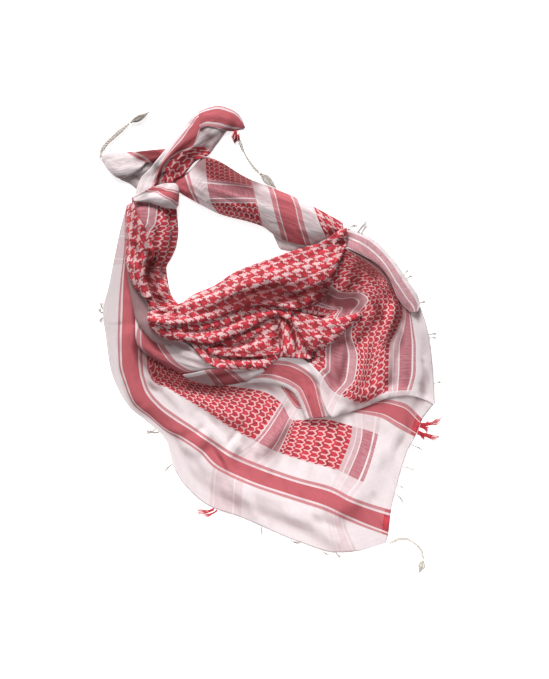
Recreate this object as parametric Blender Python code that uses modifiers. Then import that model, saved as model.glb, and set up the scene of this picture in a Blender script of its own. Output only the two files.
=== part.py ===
"""Red-and-white keffiyeh headscarf, folded to a triangle, knotted and laid flat.

One 110 cm square of cotton lies on a flat surface. Each stretch of it that shows is a wall 2 mm thick, made
from sections across the cloth and settled on what lies below it. The layers that nothing shows of are rounded
solids with layered edges. Plan sizes are in centimetres from the scarf's drafting point, lifts and heights in
millimetres, and everything is turned into metres as it is built. +Z is up, +Y runs towards the knot.
"""

import math
from collections import namedtuple

import bmesh
import bpy
import numpy as np
from mathutils import Matrix, Vector
from mathutils.bvhtree import BVHTree

CM = 0.01
MM = 0.001

WALL = 2.0 * MM            # thickness of each cloth wall
GAP = 0.35 * MM            # clear space kept between layers
FOLD_CELL = 1.6            # cm, side of a mesh cell in a rolled or folded stretch
PANEL_CELL = 2.3           # cm, side of a mesh cell in a flat one
LAY_CENTRE = (-0.05, -0.2)   # cm, middle of the laid scarf's outline, from the drafting point

MAP_LOW = (-40.0, -52.0)   # cm, corner of the height map
MAP_HIGH = (42.0, 52.0)
MAP_CELL = 0.2             # cm
TASSEL_REACH = 1           # the same for a cord or a thread
DRAPE_REACH = 3            # map cells by which a layer bridges the edge of what it lies on
SWELL_FROM = 1.0 * MM      # lowest point of a hidden solid that is raised to the cloth
SWELL_MOST = 12.0 * MM
SEAT_MOST = 2.2 * MM       # most by which a point of a layer is lowered to what is under it
SEAT_GAP = 1.5 * GAP       # clear space left when it is
UP = Vector((0.0, 0.0, 1.0))
MEET_STEPS = 80
SETTLE_ROUNDS = 80         # most steps by which a layer is raised clear of what it lies on
TUFT_TURNS = (1.0, 0.0, -1.1)   # share of a tuft's spread by which a thread turns outwards at each step
TUFT_TAPER = 0.75          # share of its width that a thread keeps at each step
TUFT_FORWARD = 0.35        # least forward facing of a knot's face that a thread leaves
KNOT_SIDES = 8
KNOT_BANDS = 5
CORD_FLATNESS = 0.6        # a cord's thickness over its width
CORD_STATIONS = 22
MAP_STEPS = 14             # samples along a triangle's side as it is put in the height map
ROLL_SHARE = 0.45          # share of a fold's width that its one rounded edge takes
ROLL_POWER = 2.2           # 2 rolls a fold as a circle, more squares it
RIDGE_ENDS = 0.06          # share of a ridge's length in which it fades
BAR_ENDS = (0.5, 0.4)      # reach of a bar's end in half widths, and its height in the bar's heights
STRAND_EASE = 0.7          # how far a thread sets off square to its edge before it turns to its run
STRAND_DROP = 1.5          # how fast it comes down to what it lies on
# columns: share of a thread's length, share of its thickness kept there
STRAND_STEPS = ((0.34, 0.85), (0.67, 0.8), (1.0, 0.55))

SALMON = (0.55, 0.13, 0.14, 1.0)
RED = (0.50, 0.04, 0.06, 1.0)
PINK = (0.62, 0.33, 0.34, 1.0)
CREAM = (0.78, 0.70, 0.70, 1.0)
CORD = (0.60, 0.55, 0.50, 1.0)

# A section lies across a stretch: "along" is its place on the cloth, "crown" how far the cloth is puffed up.
Section = namedtuple("Section", "along crown points")
# A ridge is a soft raised fold from one plan point to another.
Ridge = namedtuple("Ridge", "start end reach height")
Stretch = namedtuple("Stretch", "name colour across rounded sections")
Bar = namedtuple("Bar", "x y half_width height")
# A thread: its place along an edge, its run from there in cm, its width in mm.
Strand = namedtuple("Strand", "place run width")

BOTH, FIRST, LAST, FLAT = "both", "first", "last", "flat"


# ---------------------------------------------------------------- the stretches, bottom layer first

LOWER_PANEL = Stretch(
    "lower_panel", SALMON, (0.0, 7.6, 12.8, 16.4, 26.0, 29.2, 34.4, 37.6), FLAT,
    # points: hem, band A outside and inside, wave inside and outside, band B inside and outside, white edge
    (
        Section(0.0, 0, ((23.2, -40.6), (23.6, -39.2), (24.2, -34.1), (25.0, -30.6),
                         (27.4, -22.4), (29.0, -19.4), (30.4, -16.0), (32.8, -12.8))),
        Section(4.5, 0, ((19.8, -41.6), (19.2, -37.7), (20.2, -32.9), (21.6, -29.4),
                         (24.2, -20.8), (25.6, -17.6), (26.8, -12.8), (28.2, -10.6))),
        Section(9.0, 0, ((17.2, -42.3), (15.0, -36.0), (16.2, -31.4), (18.4, -28.4),
                         (21.4, -19.0), (22.0, -15.5), (22.8, -12.0), (23.6, -9.8))),
        Section(14.6, 0, ((12.8, -42.5), (11.2, -34.3), (12.2, -29.4), (13.6, -26.2),
                          (16.4, -17.4), (16.2, -14.4), (16.8, -12.4), (17.4, -11.0))),
        Section(20.0, 0, ((5.2, -40.2), (4.0, -31.9), (5.6, -27.6), (7.6, -24.5),
                          (10.4, -16.0), (11.4, -13.8), (11.8, -12.2), (12.2, -10.8))),
        Section(25.6, 0, ((-5.2, -35.7), (-4.8, -28.8), (-0.8, -25.4), (1.8, -22.6),
                          (4.6, -16.2), (6.0, -13.8), (6.6, -12.2), (7.2, -10.8))),
        Section(31.2, 0, ((-12.2, -33.2), (-11.4, -25.4), (-7.0, -22.8), (-3.2, -20.2),
                          (2.2, -12.8), (3.2, -11.2), (3.8, -10.0), (4.4, -8.8))),
        Section(36.0, 0, ((-16.0, -30.2), (-14.0, -22.7), (-11.2, -20.2), (-7.2, -18.1),
                          (-1.6, -10.6), (-0.6, -9.0), (-0.2, -7.8), (0.2, -6.6))),
        Section(43.0, 0, ((-19.0, -26.0), (-17.8, -20.1), (-15.6, -17.2), (-12.6, -14.5),
                          (-9.0, -9.3), (-8.4, -7.6), (-8.2, -6.4), (-8.0, -5.2))),
        Section(48.0, 0, ((-20.8, -20.0), (-20.6, -18.5), (-18.6, -15.2), (-16.4, -12.0),
                          (-13.8, -8.0), (-13.4, -6.4), (-13.2, -5.2), (-13.0, -4.0))),
        Section(54.0, 0, ((-24.6, -16.3), (-24.2, -15.5), (-22.4, -12.2), (-20.6, -9.2),
                          (-18.4, -6.3), (-18.0, -4.8), (-17.8, -3.8), (-17.6, -2.8))),
        Section(59.0, 0, ((-28.0, -13.5), (-27.4, -12.8), (-24.2, -9.1), (-23.2, -7.4),
                          (-21.6, -4.8), (-21.2, -3.4), (-21.0, -2.4), (-20.8, -1.4))),
        Section(63.0, 0, ((-30.1, -10.3), (-29.0, -9.2), (-24.9, -6.4), (-24.2, -5.4),
                          (-23.0, -3.4), (-22.6, -2.4), (-22.4, -1.6), (-22.2, -0.8))),
        Section(68.0, 0, ((-32.0, -5.4), (-30.3, -4.8), (-25.2, -3.0), (-24.6, -2.6),
                          (-23.8, -1.8), (-23.4, -1.2), (-23.1, -0.7), (-22.8, -0.2))),
        Section(74.0, 0, ((-32.8, 0.4), (-30.5, 0.6), (-25.6, 1.0), (-25.0, 1.0),
                          (-24.2, 1.1), (-23.8, 1.2), (-23.4, 1.3), (-23.0, 1.4))),
        Section(80.0, 0, ((-33.4, 5.4), (-30.4, 6.0), (-25.8, 6.4), (-25.2, 6.5),
                          (-24.4, 6.6), (-24.0, 6.6), (-23.6, 6.6), (-23.2, 6.6))),
        Section(86.0, 0, ((-32.2, 11.2), (-30.0, 11.6), (-26.6, 11.8), (-26.0, 11.8),
                          (-25.4, 11.9), (-25.0, 12.0), (-24.6, 12.0), (-24.2, 12.0))),
        Section(92.0, 0, ((-31.0, 17.2), (-29.3, 17.2), (-27.2, 17.2), (-26.6, 17.2),
                          (-26.1, 17.2), (-25.7, 17.2), (-25.3, 17.2), (-24.9, 17.2))),
        Section(98.0, 0, ((-29.9, 22.4), (-28.8, 22.4), (-27.4, 22.4), (-26.9, 22.4),
                          (-26.4, 22.4), (-26.0, 22.4), (-25.6, 22.4), (-25.2, 22.4))),
        Section(102.0, 0, ((-28.9, 26.2), (-28.3, 26.2), (-27.2, 26.2), (-26.7, 26.2),
                           (-26.2, 26.2), (-25.8, 26.2), (-25.4, 26.2), (-25.0, 26.2))),
    ),
)

ARCH_FOLD = Stretch(
    "arch_fold", SALMON, (28.2, 29.2, 34.4, 36.8), FIRST,
    # points: white below the band, band B inside, band B outside, white above it
    (
        Section(24.5, 6, ((7.2, -15.9), (7.9, -15.7), (11.0, -15.4), (12.4, -15.0))),
        Section(28.0, 8, ((6.0, -12.8), (6.7, -12.4), (10.1, -12.2), (11.4, -11.8))),
        Section(31.2, 8, ((4.8, -10.6), (5.4, -10.1), (9.1, -8.3), (9.9, -7.8))),
        Section(34.0, 7, ((3.2, -9.5), (3.7, -8.9), (7.2, -6.1), (8.2, -5.0))),
        Section(38.0, 6, ((1.0, -8.8), (1.4, -8.0), (3.8, -4.5), (4.8, -2.8))),
        Section(42.0, 5, ((-1.6, -8.4), (-1.2, -7.5), (1.2, -4.2), (2.8, -2.0))),
        Section(46.0, 4, ((-4.6, -8.6), (-4.2, -7.8), (-2.0, -5.8), (0.4, -2.4))),
    ),
)

RIGHT_PANEL = Stretch(
    "right_panel", RED, (35.8, 37.6, 42.0, 47.0, 52.0, 57.0, 60.0, 63.0, 66.0, 70.0, 75.0), FIRST,
    # points: pleat edge, wave edge, then up the panel to where it goes under the collar
    (
        Section(0.0, 0, ((33.0, -12.8), (32.9, -10.6), (32.6, -6.2), (32.2, -2.0), (31.6, 1.8), (30.4, 5.8),
                         (29.0, 8.4), (27.4, 11.0), (25.6, 13.4), (22.8, 16.8), (18.0, 20.2))),
        Section(4.5, 1, ((30.6, -11.8), (30.8, -10.4), (30.8, -6.2), (30.4, -1.8), (30.0, 1.8), (29.2, 5.6),
                         (28.0, 8.0), (26.6, 10.4), (24.8, 12.8), (22.0, 16.0), (17.4, 19.4))),
        Section(9.0, 3, ((27.6, -11.0), (28.0, -10.2), (29.0, -6.0), (29.0, -1.4), (28.6, 1.8), (28.0, 5.4),
                         (27.0, 7.8), (25.8, 10.0), (24.0, 12.2), (21.2, 15.2), (16.8, 18.6))),
        Section(14.6, 5, ((23.4, -11.6), (23.6, -10.6), (23.6, -6.2), (23.8, -1.2), (25.2, 2.0), (26.4, 5.6),
                          (25.8, 8.0), (24.6, 10.2), (23.0, 12.2), (20.2, 14.8), (16.0, 17.6))),
        Section(20.0, 7, ((18.2, -13.6), (18.2, -12.8), (19.2, -8.0), (20.2, -3.4), (21.2, 1.2), (22.6, 5.6),
                          (22.8, 8.4), (22.0, 10.8), (20.4, 12.8), (17.6, 14.4), (14.0, 16.0))),
        Section(25.6, 7, ((12.4, -15.2), (14.0, -11.6), (17.0, -7.8), (17.6, -3.4), (16.4, 1.2), (17.8, 5.2),
                          (19.8, 8.0), (17.8, 9.6), (15.0, 9.6), (12.0, 11.2), (9.6, 12.8))),
        Section(28.0, 5, ((10.8, -12.8), (12.2, -10.4), (14.2, -7.6), (14.6, -3.0), (14.2, 1.2), (15.2, 5.2),
                          (16.6, 7.2), (15.6, 7.8), (13.8, 7.6), (11.0, 8.6), (8.4, 10.0))),
        Section(31.2, 3, ((9.6, -8.6), (9.8, -6.8), (11.2, -5.2), (11.2, -2.0), (11.8, 1.2), (12.8, 4.6),
                          (13.6, 5.8), (13.4, 6.2), (12.2, 6.2), (10.0, 6.8), (7.2, 7.4))),
        Section(34.0, 1, ((8.0, -6.4), (7.8, -4.6), (9.0, -3.4), (9.2, -1.0), (9.8, 1.4), (10.4, 4.0),
                          (10.8, 4.6), (10.6, 4.8), (9.8, 4.8), (8.4, 5.0), (6.0, 5.2))),
    ),
)

RIGHT_TURNOVER = Stretch(
    "right_turnover", PINK, (5.5, 9.0, 10.2, 13.5), BOTH,
    # points: fold at the outline, band edge, white line, fringe edge laid on the panel
    (
        Section(50.0, 3, ((31.5, 2.0), (28.8, 2.0), (28.4, 1.8), (25.8, 1.8))),
        Section(53.0, 4, ((31.2, 5.0), (29.5, 5.2), (29.0, 5.0), (26.5, 4.8))),
        Section(57.0, 5, ((29.6, 8.4), (27.8, 8.0), (27.3, 8.2), (25.6, 8.2))),
        Section(61.0, 5, ((27.2, 12.2), (25.5, 11.6), (25.0, 11.6), (23.9, 12.0))),
        Section(65.0, 5, ((24.2, 16.4), (23.1, 15.4), (22.7, 15.3), (21.8, 14.8))),
        Section(69.0, 5, ((20.2, 20.2), (19.8, 18.8), (19.6, 18.4), (19.0, 16.6))),
        Section(73.0, 4, ((16.6, 21.8), (16.4, 20.6), (16.3, 20.2), (16.2, 18.0))),
        Section(75.0, 3, ((14.6, 22.4), (14.6, 21.2), (14.6, 20.8), (14.4, 18.8))),
    ),
)

ARM_FLAP = Stretch(
    "arm_flap", CREAM, (0.0, 4.0), FIRST,
    # points: lower edge, upper edge under the arm
    (
        Section(0.0, 2, ((1.0, 20.4), (0.2, 22.0))),
        Section(2.0, 4, ((2.2, 18.2), (2.4, 20.8))),
        Section(4.0, 4, ((4.6, 17.8), (4.6, 20.0))),
        Section(7.0, 2, ((7.4, 18.6), (7.0, 19.8))),
    ),
)

MID_FOLD = Stretch(
    "mid_fold", SALMON, (26.5, 29.2, 34.4, 37.8), FIRST,
    # points: fold edge, band B outside, band B inside, white edge under the swirl
    (
        Section(0.0, 6, ((-26.8, 4.4), (-25.4, 3.6), (-22.0, 3.6), (-19.6, 3.6))),
        Section(3.0, 9, ((-26.8, 1.6), (-25.1, 1.2), (-22.0, 0.8), (-19.6, 0.4))),
        Section(6.0, 10, ((-26.4, -1.0), (-24.4, -1.2), (-20.3, -1.0), (-16.8, -0.6))),
        Section(9.0, 10, ((-24.4, -2.8), (-22.8, -3.1), (-18.4, -3.1), (-14.4, -2.4))),
        Section(13.0, 9, ((-21.0, -4.9), (-20.4, -4.7), (-16.6, -4.8), (-12.6, -4.2))),
        Section(18.0, 7, ((-16.6, -6.7), (-16.4, -6.5), (-14.0, -5.9), (-11.0, -5.4))),
        Section(21.0, 4, ((-13.4, -6.9), (-13.2, -6.6), (-12.2, -6.0), (-9.0, -5.2))),
    ),
)

TWIST_FOLD = Stretch(
    "twist_fold", SALMON, (0.0, 3.2), LAST,
    # points: upper edge under the swirl, lower fold
    (
        Section(26.0, 5, ((-18.0, -5.6), (-17.8, -6.9))),
        Section(27.6, 7, ((-15.0, -5.6), (-15.4, -8.2))),
        Section(29.2, 9, ((-13.0, -5.6), (-10.8, -9.0))),
        Section(34.4, 9, ((-8.4, -5.2), (-5.0, -8.3))),
        Section(36.6, 7, ((-5.0, -4.8), (-2.6, -7.2))),
        Section(38.2, 4, ((-1.8, -4.6), (-0.5, -5.8))),
    ),
)

NECK_FOLD = Stretch(
    "neck_fold", CREAM, (0.0, 4.5), FIRST,
    # points: outer fold, inner side under the arm
    (
        Section(0.0, 3, ((-28.8, 15.6), (-26.0, 15.6))),
        Section(4.0, 5, ((-28.3, 12.0), (-25.0, 12.0))),
        Section(8.0, 8, ((-27.6, 8.0), (-23.6, 8.0))),
        Section(12.0, 10, ((-26.7, 4.2), (-22.4, 5.2))),
        Section(15.0, 10, ((-25.0, 1.6), (-20.8, 3.6))),
        Section(18.0, 8, ((-22.8, -0.4), (-18.8, 2.0))),
        Section(20.0, 6, ((-20.8, -1.0), (-17.2, 0.8))),
        Section(22.0, 4, ((-18.8, -0.2), (-16.0, 0.2))),
    ),
)

RIGHT_ARM = Stretch(
    "right_arm", RED, (22.0, 25.6, 31.2, 34.0), BOTH,
    # points: upper edge, stripe band's two sides, lower edge
    (
        Section(102.4, 4, ((-20.4, 31.6), (-20.0, 30.8), (-19.2, 30.0), (-18.6, 29.8))),
        Section(97.2, 9, ((-16.3, 33.6), (-15.8, 31.8), (-15.0, 29.4), (-14.0, 27.2))),
        Section(93.6, 11, ((-13.0, 36.5), (-12.6, 31.4), (-11.8, 27.4), (-10.4, 25.4))),
        Section(84.0, 12, ((-4.0, 32.1), (-3.6, 30.4), (-2.8, 27.2), (-1.6, 22.8))),
        Section(80.8, 12, ((-0.6, 30.8), (0.0, 29.0), (0.8, 25.6), (2.4, 20.1))),
        Section(75.6, 11, ((5.0, 28.5), (5.8, 26.4), (6.6, 23.0), (8.0, 18.9))),
        Section(72.4, 9, ((8.4, 26.8), (9.0, 25.0), (10.0, 22.4), (11.2, 20.2))),
        Section(67.0, 6, ((14.6, 23.4), (14.6, 22.6), (14.4, 21.6), (14.2, 20.8))),
    ),
)

LEFT_ARM_WAVE = Stretch(
    "left_arm_wave", RED, (0.0, 1.0), BOTH,
    # points: left side under the other fold, right side
    (
        Section(-1.2, 8, ((-27.8, 28.6), (-18.9, 28.4))),
        Section(3.0, 11, ((-26.6, 24.4), (-18.6, 24.6))),
        Section(6.0, 12, ((-25.4, 21.8), (-18.4, 22.0))),
        Section(9.0, 11, ((-24.4, 19.2), (-18.7, 19.2))),
        Section(12.0, 9, ((-23.2, 16.8), (-19.7, 16.6))),
        Section(14.5, 7, ((-22.9, 14.6), (-20.8, 14.4))),
        Section(17.0, 8, ((-23.2, 12.2), (-20.5, 12.0))),
        Section(20.0, 9, ((-24.0, 9.6), (-19.9, 9.4))),
        Section(22.5, 9, ((-24.4, 7.6), (-18.8, 7.6))),
        Section(24.5, 6, ((-24.0, 5.8), (-17.6, 6.6))),
    ),
)

LEFT_ARM_HOUNDSTOOTH = Stretch(
    "left_arm_houndstooth", RED, (0.0, 1.0), BOTH,
    # points: left side, right side
    (
        Section(-1.0, 5, ((-28.4, 28.2), (-26.6, 28.4))),
        Section(3.0, 8, ((-28.8, 24.6), (-26.4, 25.0))),
        Section(6.0, 9, ((-28.8, 22.0), (-24.8, 22.2))),
        Section(9.0, 9, ((-28.7, 19.0), (-23.5, 19.4))),
        Section(12.0, 9, ((-28.6, 16.0), (-22.9, 17.0))),
        Section(14.5, 8, ((-28.2, 13.6), (-24.0, 14.4))),
        Section(17.0, 7, ((-27.4, 11.2), (-24.4, 11.8))),
        Section(19.0, 6, ((-26.0, 9.4), (-24.0, 9.8))),
        Section(20.5, 4, ((-24.8, 8.2), (-23.4, 8.6))),
    ),
)

SWIRL_LOW = Stretch(
    "swirl_low", RED, (0.0, 3.0), BOTH,
    # points: upper side under the middle fold, lower fold edge
    (
        Section(0.0, 5, ((-12.6, 0.6), (-16.0, -0.2))),
        Section(2.0, 8, ((-12.0, -0.6), (-14.6, -2.0))),
        Section(4.0, 10, ((-11.4, -2.0), (-12.8, -4.2))),
        Section(7.0, 12, ((-9.2, -2.0), (-9.6, -5.6))),
        Section(10.0, 12, ((-6.4, -2.4), (-6.4, -5.8))),
        Section(13.0, 11, ((-3.6, -2.4), (-3.2, -5.9))),
        Section(16.0, 9, ((-1.0, -2.2), (-0.6, -5.4))),
        Section(19.0, 6, ((1.8, -1.8), (2.0, -3.4))),
    ),
)

SWIRL_MIDDLE = Stretch(
    "swirl_middle", RED, (0.0, 3.6), BOTH,
    # points: upper side under the lip, lower fold edge
    (
        Section(0.0, 4, ((-12.8, -0.6), (-12.0, -2.6))),
        Section(3.0, 8, ((-10.0, 0.6), (-10.0, -3.0))),
        Section(6.0, 10, ((-7.0, 1.8), (-6.8, -3.3))),
        Section(9.0, 11, ((-4.0, 3.4), (-3.6, -3.3))),
        Section(12.0, 10, ((-1.6, 4.8), (-0.8, -3.0))),
        Section(15.0, 6, ((0.6, 5.4), (1.6, -2.4))),
    ),
)

SWIRL_RIGHT = Stretch(
    "swirl_right", RED, (0.0, 5.0), BOTH,
    # points: left fold edge, right side under the right lip
    (
        Section(0.0, 6, ((0.8, 5.2), (5.4, 3.8))),
        Section(2.2, 12, ((1.6, 3.0), (6.8, 1.4))),
        Section(4.6, 13, ((1.8, 0.6), (8.0, -1.0))),
        Section(6.8, 11, ((1.9, -1.6), (8.4, -2.6))),
        Section(8.4, 6, ((2.0, -3.4), (8.2, -3.8))),
    ),
)

RIGHT_LIP = Stretch(
    "right_lip", RED, (0.0, 5.0), BOTH,
    # points: upper side under the collar, lower fold edge
    (
        Section(0.0, 6, ((3.4, 6.4), (4.2, 3.8))),
        Section(3.0, 11, ((6.0, 5.6), (6.2, 0.6))),
        Section(5.5, 13, ((8.4, 4.8), (8.4, -2.3))),
        Section(8.0, 13, ((11.0, 4.3), (11.0, -1.5))),
        Section(10.5, 11, ((13.6, 4.4), (13.4, 0.3))),
        Section(13.0, 8, ((16.0, 5.0), (15.7, 2.6))),
        Section(15.2, 4, ((18.0, 5.5), (18.1, 4.9))),
    ),
)

SWIRL_LIP = Stretch(
    "swirl_lip", RED, (0.0, 4.5), BOTH,
    # points: upper side under the collar, lower fold edge
    (
        Section(0.0, 5, ((-24.3, 4.0), (-23.6, 2.4))),
        Section(2.5, 10, ((-22.0, 4.0), (-21.8, 0.8))),
        Section(6.0, 13, ((-18.4, 3.8), (-18.0, -0.3))),
        Section(11.0, 14, ((-13.0, 4.4), (-13.2, -0.8))),
        Section(15.5, 14, ((-8.8, 5.8), (-9.2, -0.3))),
        Section(19.5, 13, ((-5.0, 7.1), (-5.0, 1.7))),
        Section(23.0, 11, ((-1.6, 7.4), (-1.6, 3.6))),
        Section(26.0, 9, ((1.6, 7.4), (1.2, 4.8))),
        Section(29.0, 5, ((4.4, 7.0), (4.0, 4.0))),
    ),
)

COLLAR_ROLL = Stretch(
    "collar_roll", RED, (0.0, 8.0), BOTH,
    # points: neck edge, lower fold edge
    (
        Section(0.0, 5, ((-24.3, 5.4), (-24.1, 3.6))),
        Section(3.0, 11, ((-21.0, 6.5), (-20.8, 2.8))),
        Section(6.5, 15, ((-18.0, 7.2), (-17.4, 3.0))),
        Section(10.0, 17, ((-15.4, 9.0), (-13.0, 3.7))),
        Section(15.0, 19, ((-11.2, 10.8), (-8.4, 5.2))),
        Section(20.0, 20, ((-7.0, 13.6), (-4.0, 6.5))),
        Section(27.0, 21, ((-1.0, 15.9), (0.4, 6.7))),
        Section(33.0, 21, ((5.0, 17.9), (6.0, 6.0))),
        Section(38.5, 19, ((10.6, 19.6), (10.4, 8.0))),
        Section(42.0, 16, ((13.2, 21.4), (12.4, 11.8))),
        Section(45.0, 11, ((14.6, 22.1), (13.8, 15.6))),
        Section(47.0, 6, ((15.3, 22.3), (15.2, 18.8))),
    ),
)

TAIL_LEFT_BACK = Stretch(
    "tail_left_back", CREAM, (0.0, 2.0), LAST,
    # points: upper side under the front, lower edge
    (
        Section(0.0, 1, ((-31.6, 34.4), (-31.8, 33.8))),
        Section(2.0, 3, ((-29.6, 33.6), (-29.8, 32.1))),
        Section(4.5, 5, ((-27.2, 33.8), (-27.8, 31.2))),
        Section(7.0, 6, ((-25.2, 34.8), (-26.2, 29.8))),
        Section(10.0, 6, ((-22.8, 36.0), (-24.8, 28.8))),
    ),
)

TAIL_LEFT = Stretch(
    "tail_left", CREAM, (0.0, 1.0), BOTH,
    # points: upper edge, lower fold
    (
        Section(0.0, 1, ((-33.7, 36.8), (-33.6, 36.0))),
        Section(1.6, 3, ((-32.0, 37.4), (-32.2, 34.0))),
        Section(3.6, 5, ((-30.0, 37.5), (-29.8, 32.3))),
        Section(5.6, 6, ((-28.6, 37.6), (-26.0, 34.0))),
        Section(7.0, 6, ((-27.4, 37.6), (-24.6, 35.3))),
        Section(10.0, 6, ((-24.0, 37.9), (-23.4, 35.4))),
        Section(13.0, 5, ((-20.8, 38.2), (-22.0, 36.0))),
    ),
)

TAIL_RIGHT = Stretch(
    "tail_right", SALMON, (4.0, 7.6, 12.8, 18.0), BOTH,
    # points: outer edge, band outside, band inside, inner edge
    (
        Section(0.0, 4, ((-26.2, 29.2), (-24.2, 29.2), (-22.2, 30.8), (-20.8, 30.6))),
        Section(3.0, 7, ((-25.8, 32.0), (-23.3, 31.4), (-21.8, 32.8), (-19.6, 31.6))),
        Section(6.5, 8, ((-23.8, 34.2), (-22.4, 34.0), (-20.6, 35.0), (-17.2, 33.1))),
        Section(10.5, 8, ((-21.6, 37.0), (-20.6, 36.8), (-18.6, 37.2), (-15.0, 35.7))),
        Section(15.0, 8, ((-19.2, 40.3), (-18.4, 40.0), (-16.4, 39.4), (-12.6, 36.8))),
        Section(19.5, 7, ((-16.6, 43.3), (-16.0, 43.1), (-14.8, 40.8), (-10.8, 39.0))),
        Section(23.5, 5, ((-14.4, 45.4), (-14.1, 45.0), (-13.8, 42.6), (-9.0, 41.4))),
    ),
)

TAIL_RIGHT_END = Stretch(
    "tail_right_end", SALMON, (7.0, 13.2), BOTH,
    # points: outer edge, inner stripe
    (
        Section(0.0, 3, ((-14.3, 45.5), (-14.0, 42.0))),
        Section(1.6, 5, ((-12.6, 46.3), (-12.6, 42.6))),
        Section(3.8, 6, ((-10.4, 46.8), (-10.4, 42.2))),
        Section(6.2, 6, ((-8.0, 46.2), (-8.6, 41.8))),
        Section(8.0, 5, ((-6.4, 45.2), (-7.2, 41.8))),
        Section(9.4, 3, ((-5.4, 43.6), (-6.0, 42.1))),
        Section(10.4, 1, ((-5.0, 42.5), (-5.3, 42.2))),
    ),
)

KNOT_WRAP = Stretch(
    "knot_wrap", CREAM, (0.0, 3.0), BOTH,
    # points: upper edge, lower edge
    (
        Section(0.0, 3, ((-26.8, 28.5), (-26.6, 27.6))),
        Section(2.2, 7, ((-24.4, 29.0), (-24.4, 27.2))),
        Section(4.4, 10, ((-22.4, 30.0), (-22.4, 26.7))),
        Section(6.4, 11, ((-20.6, 31.2), (-20.6, 26.2))),
        Section(8.2, 9, ((-18.8, 31.0), (-18.8, 26.0))),
        Section(9.4, 4, ((-18.0, 30.0), (-18.2, 27.0))),
    ),
)

RIDGES = {
    "lower_panel": (
        Ridge((-6.6, -19.2), (-9.4, -24.4), 1.2, 5.0),
        Ridge((-12.6, -17.6), (-14.4, -21.6), 1.2, 4.0),
        Ridge((4.0, -15.0), (-1.6, -22.0), 1.1, 5.0),
        Ridge((6.0, -34.0), (15.0, -41.0), 1.8, 4.0),
        Ridge((-8.0, -26.0), (-2.0, -36.0), 1.6, 3.5),
        Ridge((-28.0, -8.0), (-26.0, -13.0), 1.3, 5.0),
        Ridge((-28.6, 8.0), (-28.2, -7.0), 1.4, 5.0),
        Ridge((-16.0, -11.0), (-4.0, -17.0), 1.4, 3.0),
        Ridge((20.0, -18.0), (28.0, -28.0), 1.6, 3.0),
    ),
    "right_panel": (
        Ridge((25.0, 8.0), (23.0, 1.0), 1.0, 7.0),
        Ridge((17.0, -3.0), (16.4, -11.0), 1.2, 5.0),
        Ridge((21.0, 15.0), (24.4, 9.0), 1.0, 4.0),
        Ridge((15.0, 13.0), (17.5, 10.0), 0.9, 5.0),
        Ridge((22.0, -3.0), (21.0, -11.0), 1.2, 4.0),
        Ridge((31.0, -4.0), (29.6, -9.0), 1.2, 3.0),
    ),
}

# ---------------------------------------------------------------- the hidden layers

HEAP_CENTRE = (-1.0, 2.0)   # cm
HEAP_STEP = 15              # degrees from one row below to the next
# columns: reach of the flat layers, reach of the bunched heap, both in cm from the heap's centre
HEAP_OUTLINE = (
    (30.8, 17.4), (28.4, 18.0), (26.4, 18.4), (22.2, 19.8), (17.0, 16.0), (14.2, 13.2),
    (12.0, 11.2), (11.0, 10.2), (10.6, 9.8), (10.8, 10.2), (12.8, 12.0), (17.8, 16.8),
    (27.2, 20.0), (28.0, 17.6), (28.0, 15.0), (26.4, 11.4), (29.4, 8.8), (33.4, 7.8),
    (35.6, 8.0), (39.2, 8.8), (40.2, 10.0), (35.0, 13.0), (33.0, 16.2), (32.0, 17.6),
)
# columns: spread (1 at the flat layers' edge, 0 at the heap's foot, -1 at its centre), height in mm
HEAP_PROFILE = (
    (1.0, 0.0), (1.0, 1.4), (0.97, 1.7), (0.965, 3.0), (0.92, 3.3), (0.915, 4.4), (0.45, 5.2),
    (0.06, 6.5), (-0.04, 9.5), (-0.12, 10.0), (-0.15, 12.5), (-0.5, 14.0),
)
HEAP_TOP = 14.5             # mm

# columns across a bar's section: share of the half width, share of the height
BAR_PROFILE = (
    (1.0, 0.0), (1.0, 0.28), (0.93, 0.32), (0.90, 0.62), (0.72, 0.88), (0.3, 1.0),
    (-0.3, 1.0), (-0.72, 0.88), (-0.90, 0.62), (-0.93, 0.32), (-1.0, 0.28), (-1.0, 0.0),
)
BARS = {
    # columns: x, y, half width in cm, height in mm
    "hidden_left_arm": (
        Bar(-23.8, 25.4, 2.6, 12), Bar(-23.8, 22.0, 3.2, 14), Bar(-24.0, 18.6, 3.0, 14),
        Bar(-24.4, 15.0, 2.0, 11), Bar(-23.6, 12.0, 1.6, 10), Bar(-22.4, 9.8, 1.4, 9),
    ),
    "hidden_right_arm": (
        Bar(-15.2, 30.6, 1.6, 11), Bar(-11.0, 30.2, 3.2, 13), Bar(-3.4, 27.6, 2.9, 14),
        Bar(2.6, 25.0, 2.9, 14), Bar(7.6, 23.2, 2.4, 12), Bar(11.2, 22.3, 1.2, 8),
    ),
    "hidden_knot": (
        Bar(-25.0, 28.0, 0.5, 8), Bar(-22.6, 28.5, 0.9, 13), Bar(-20.4, 28.7, 1.1, 14),
        Bar(-19.2, 28.9, 0.7, 9),
    ),
    "hidden_tail_right": (
        Bar(-21.4, 34.4, 0.9, 5), Bar(-18.4, 37.8, 1.2, 5), Bar(-15.0, 41.2, 1.4, 5),
        Bar(-11.6, 43.6, 1.4, 5), Bar(-8.6, 43.8, 1.0, 4),
    ),
    "hidden_tail_left": (
        Bar(-31.6, 35.7, 0.6, 2), Bar(-29.4, 35.0, 1.2, 4), Bar(-26.6, 35.0, 1.4, 5),
        Bar(-24.4, 35.2, 1.2, 4),
    ),
}

# ---------------------------------------------------------------- tassels and fringe

# A cord with a knotted tuft on its end: the tuft's bearing in degrees, the knot's radius in mm, the threads'
# length in cm and their spread
Tassel = namedtuple("Tassel", "name carrier route bearing knot length spread")
RedTuft = namedtuple("RedTuft", "carrier place bearing knot length spread")
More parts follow.
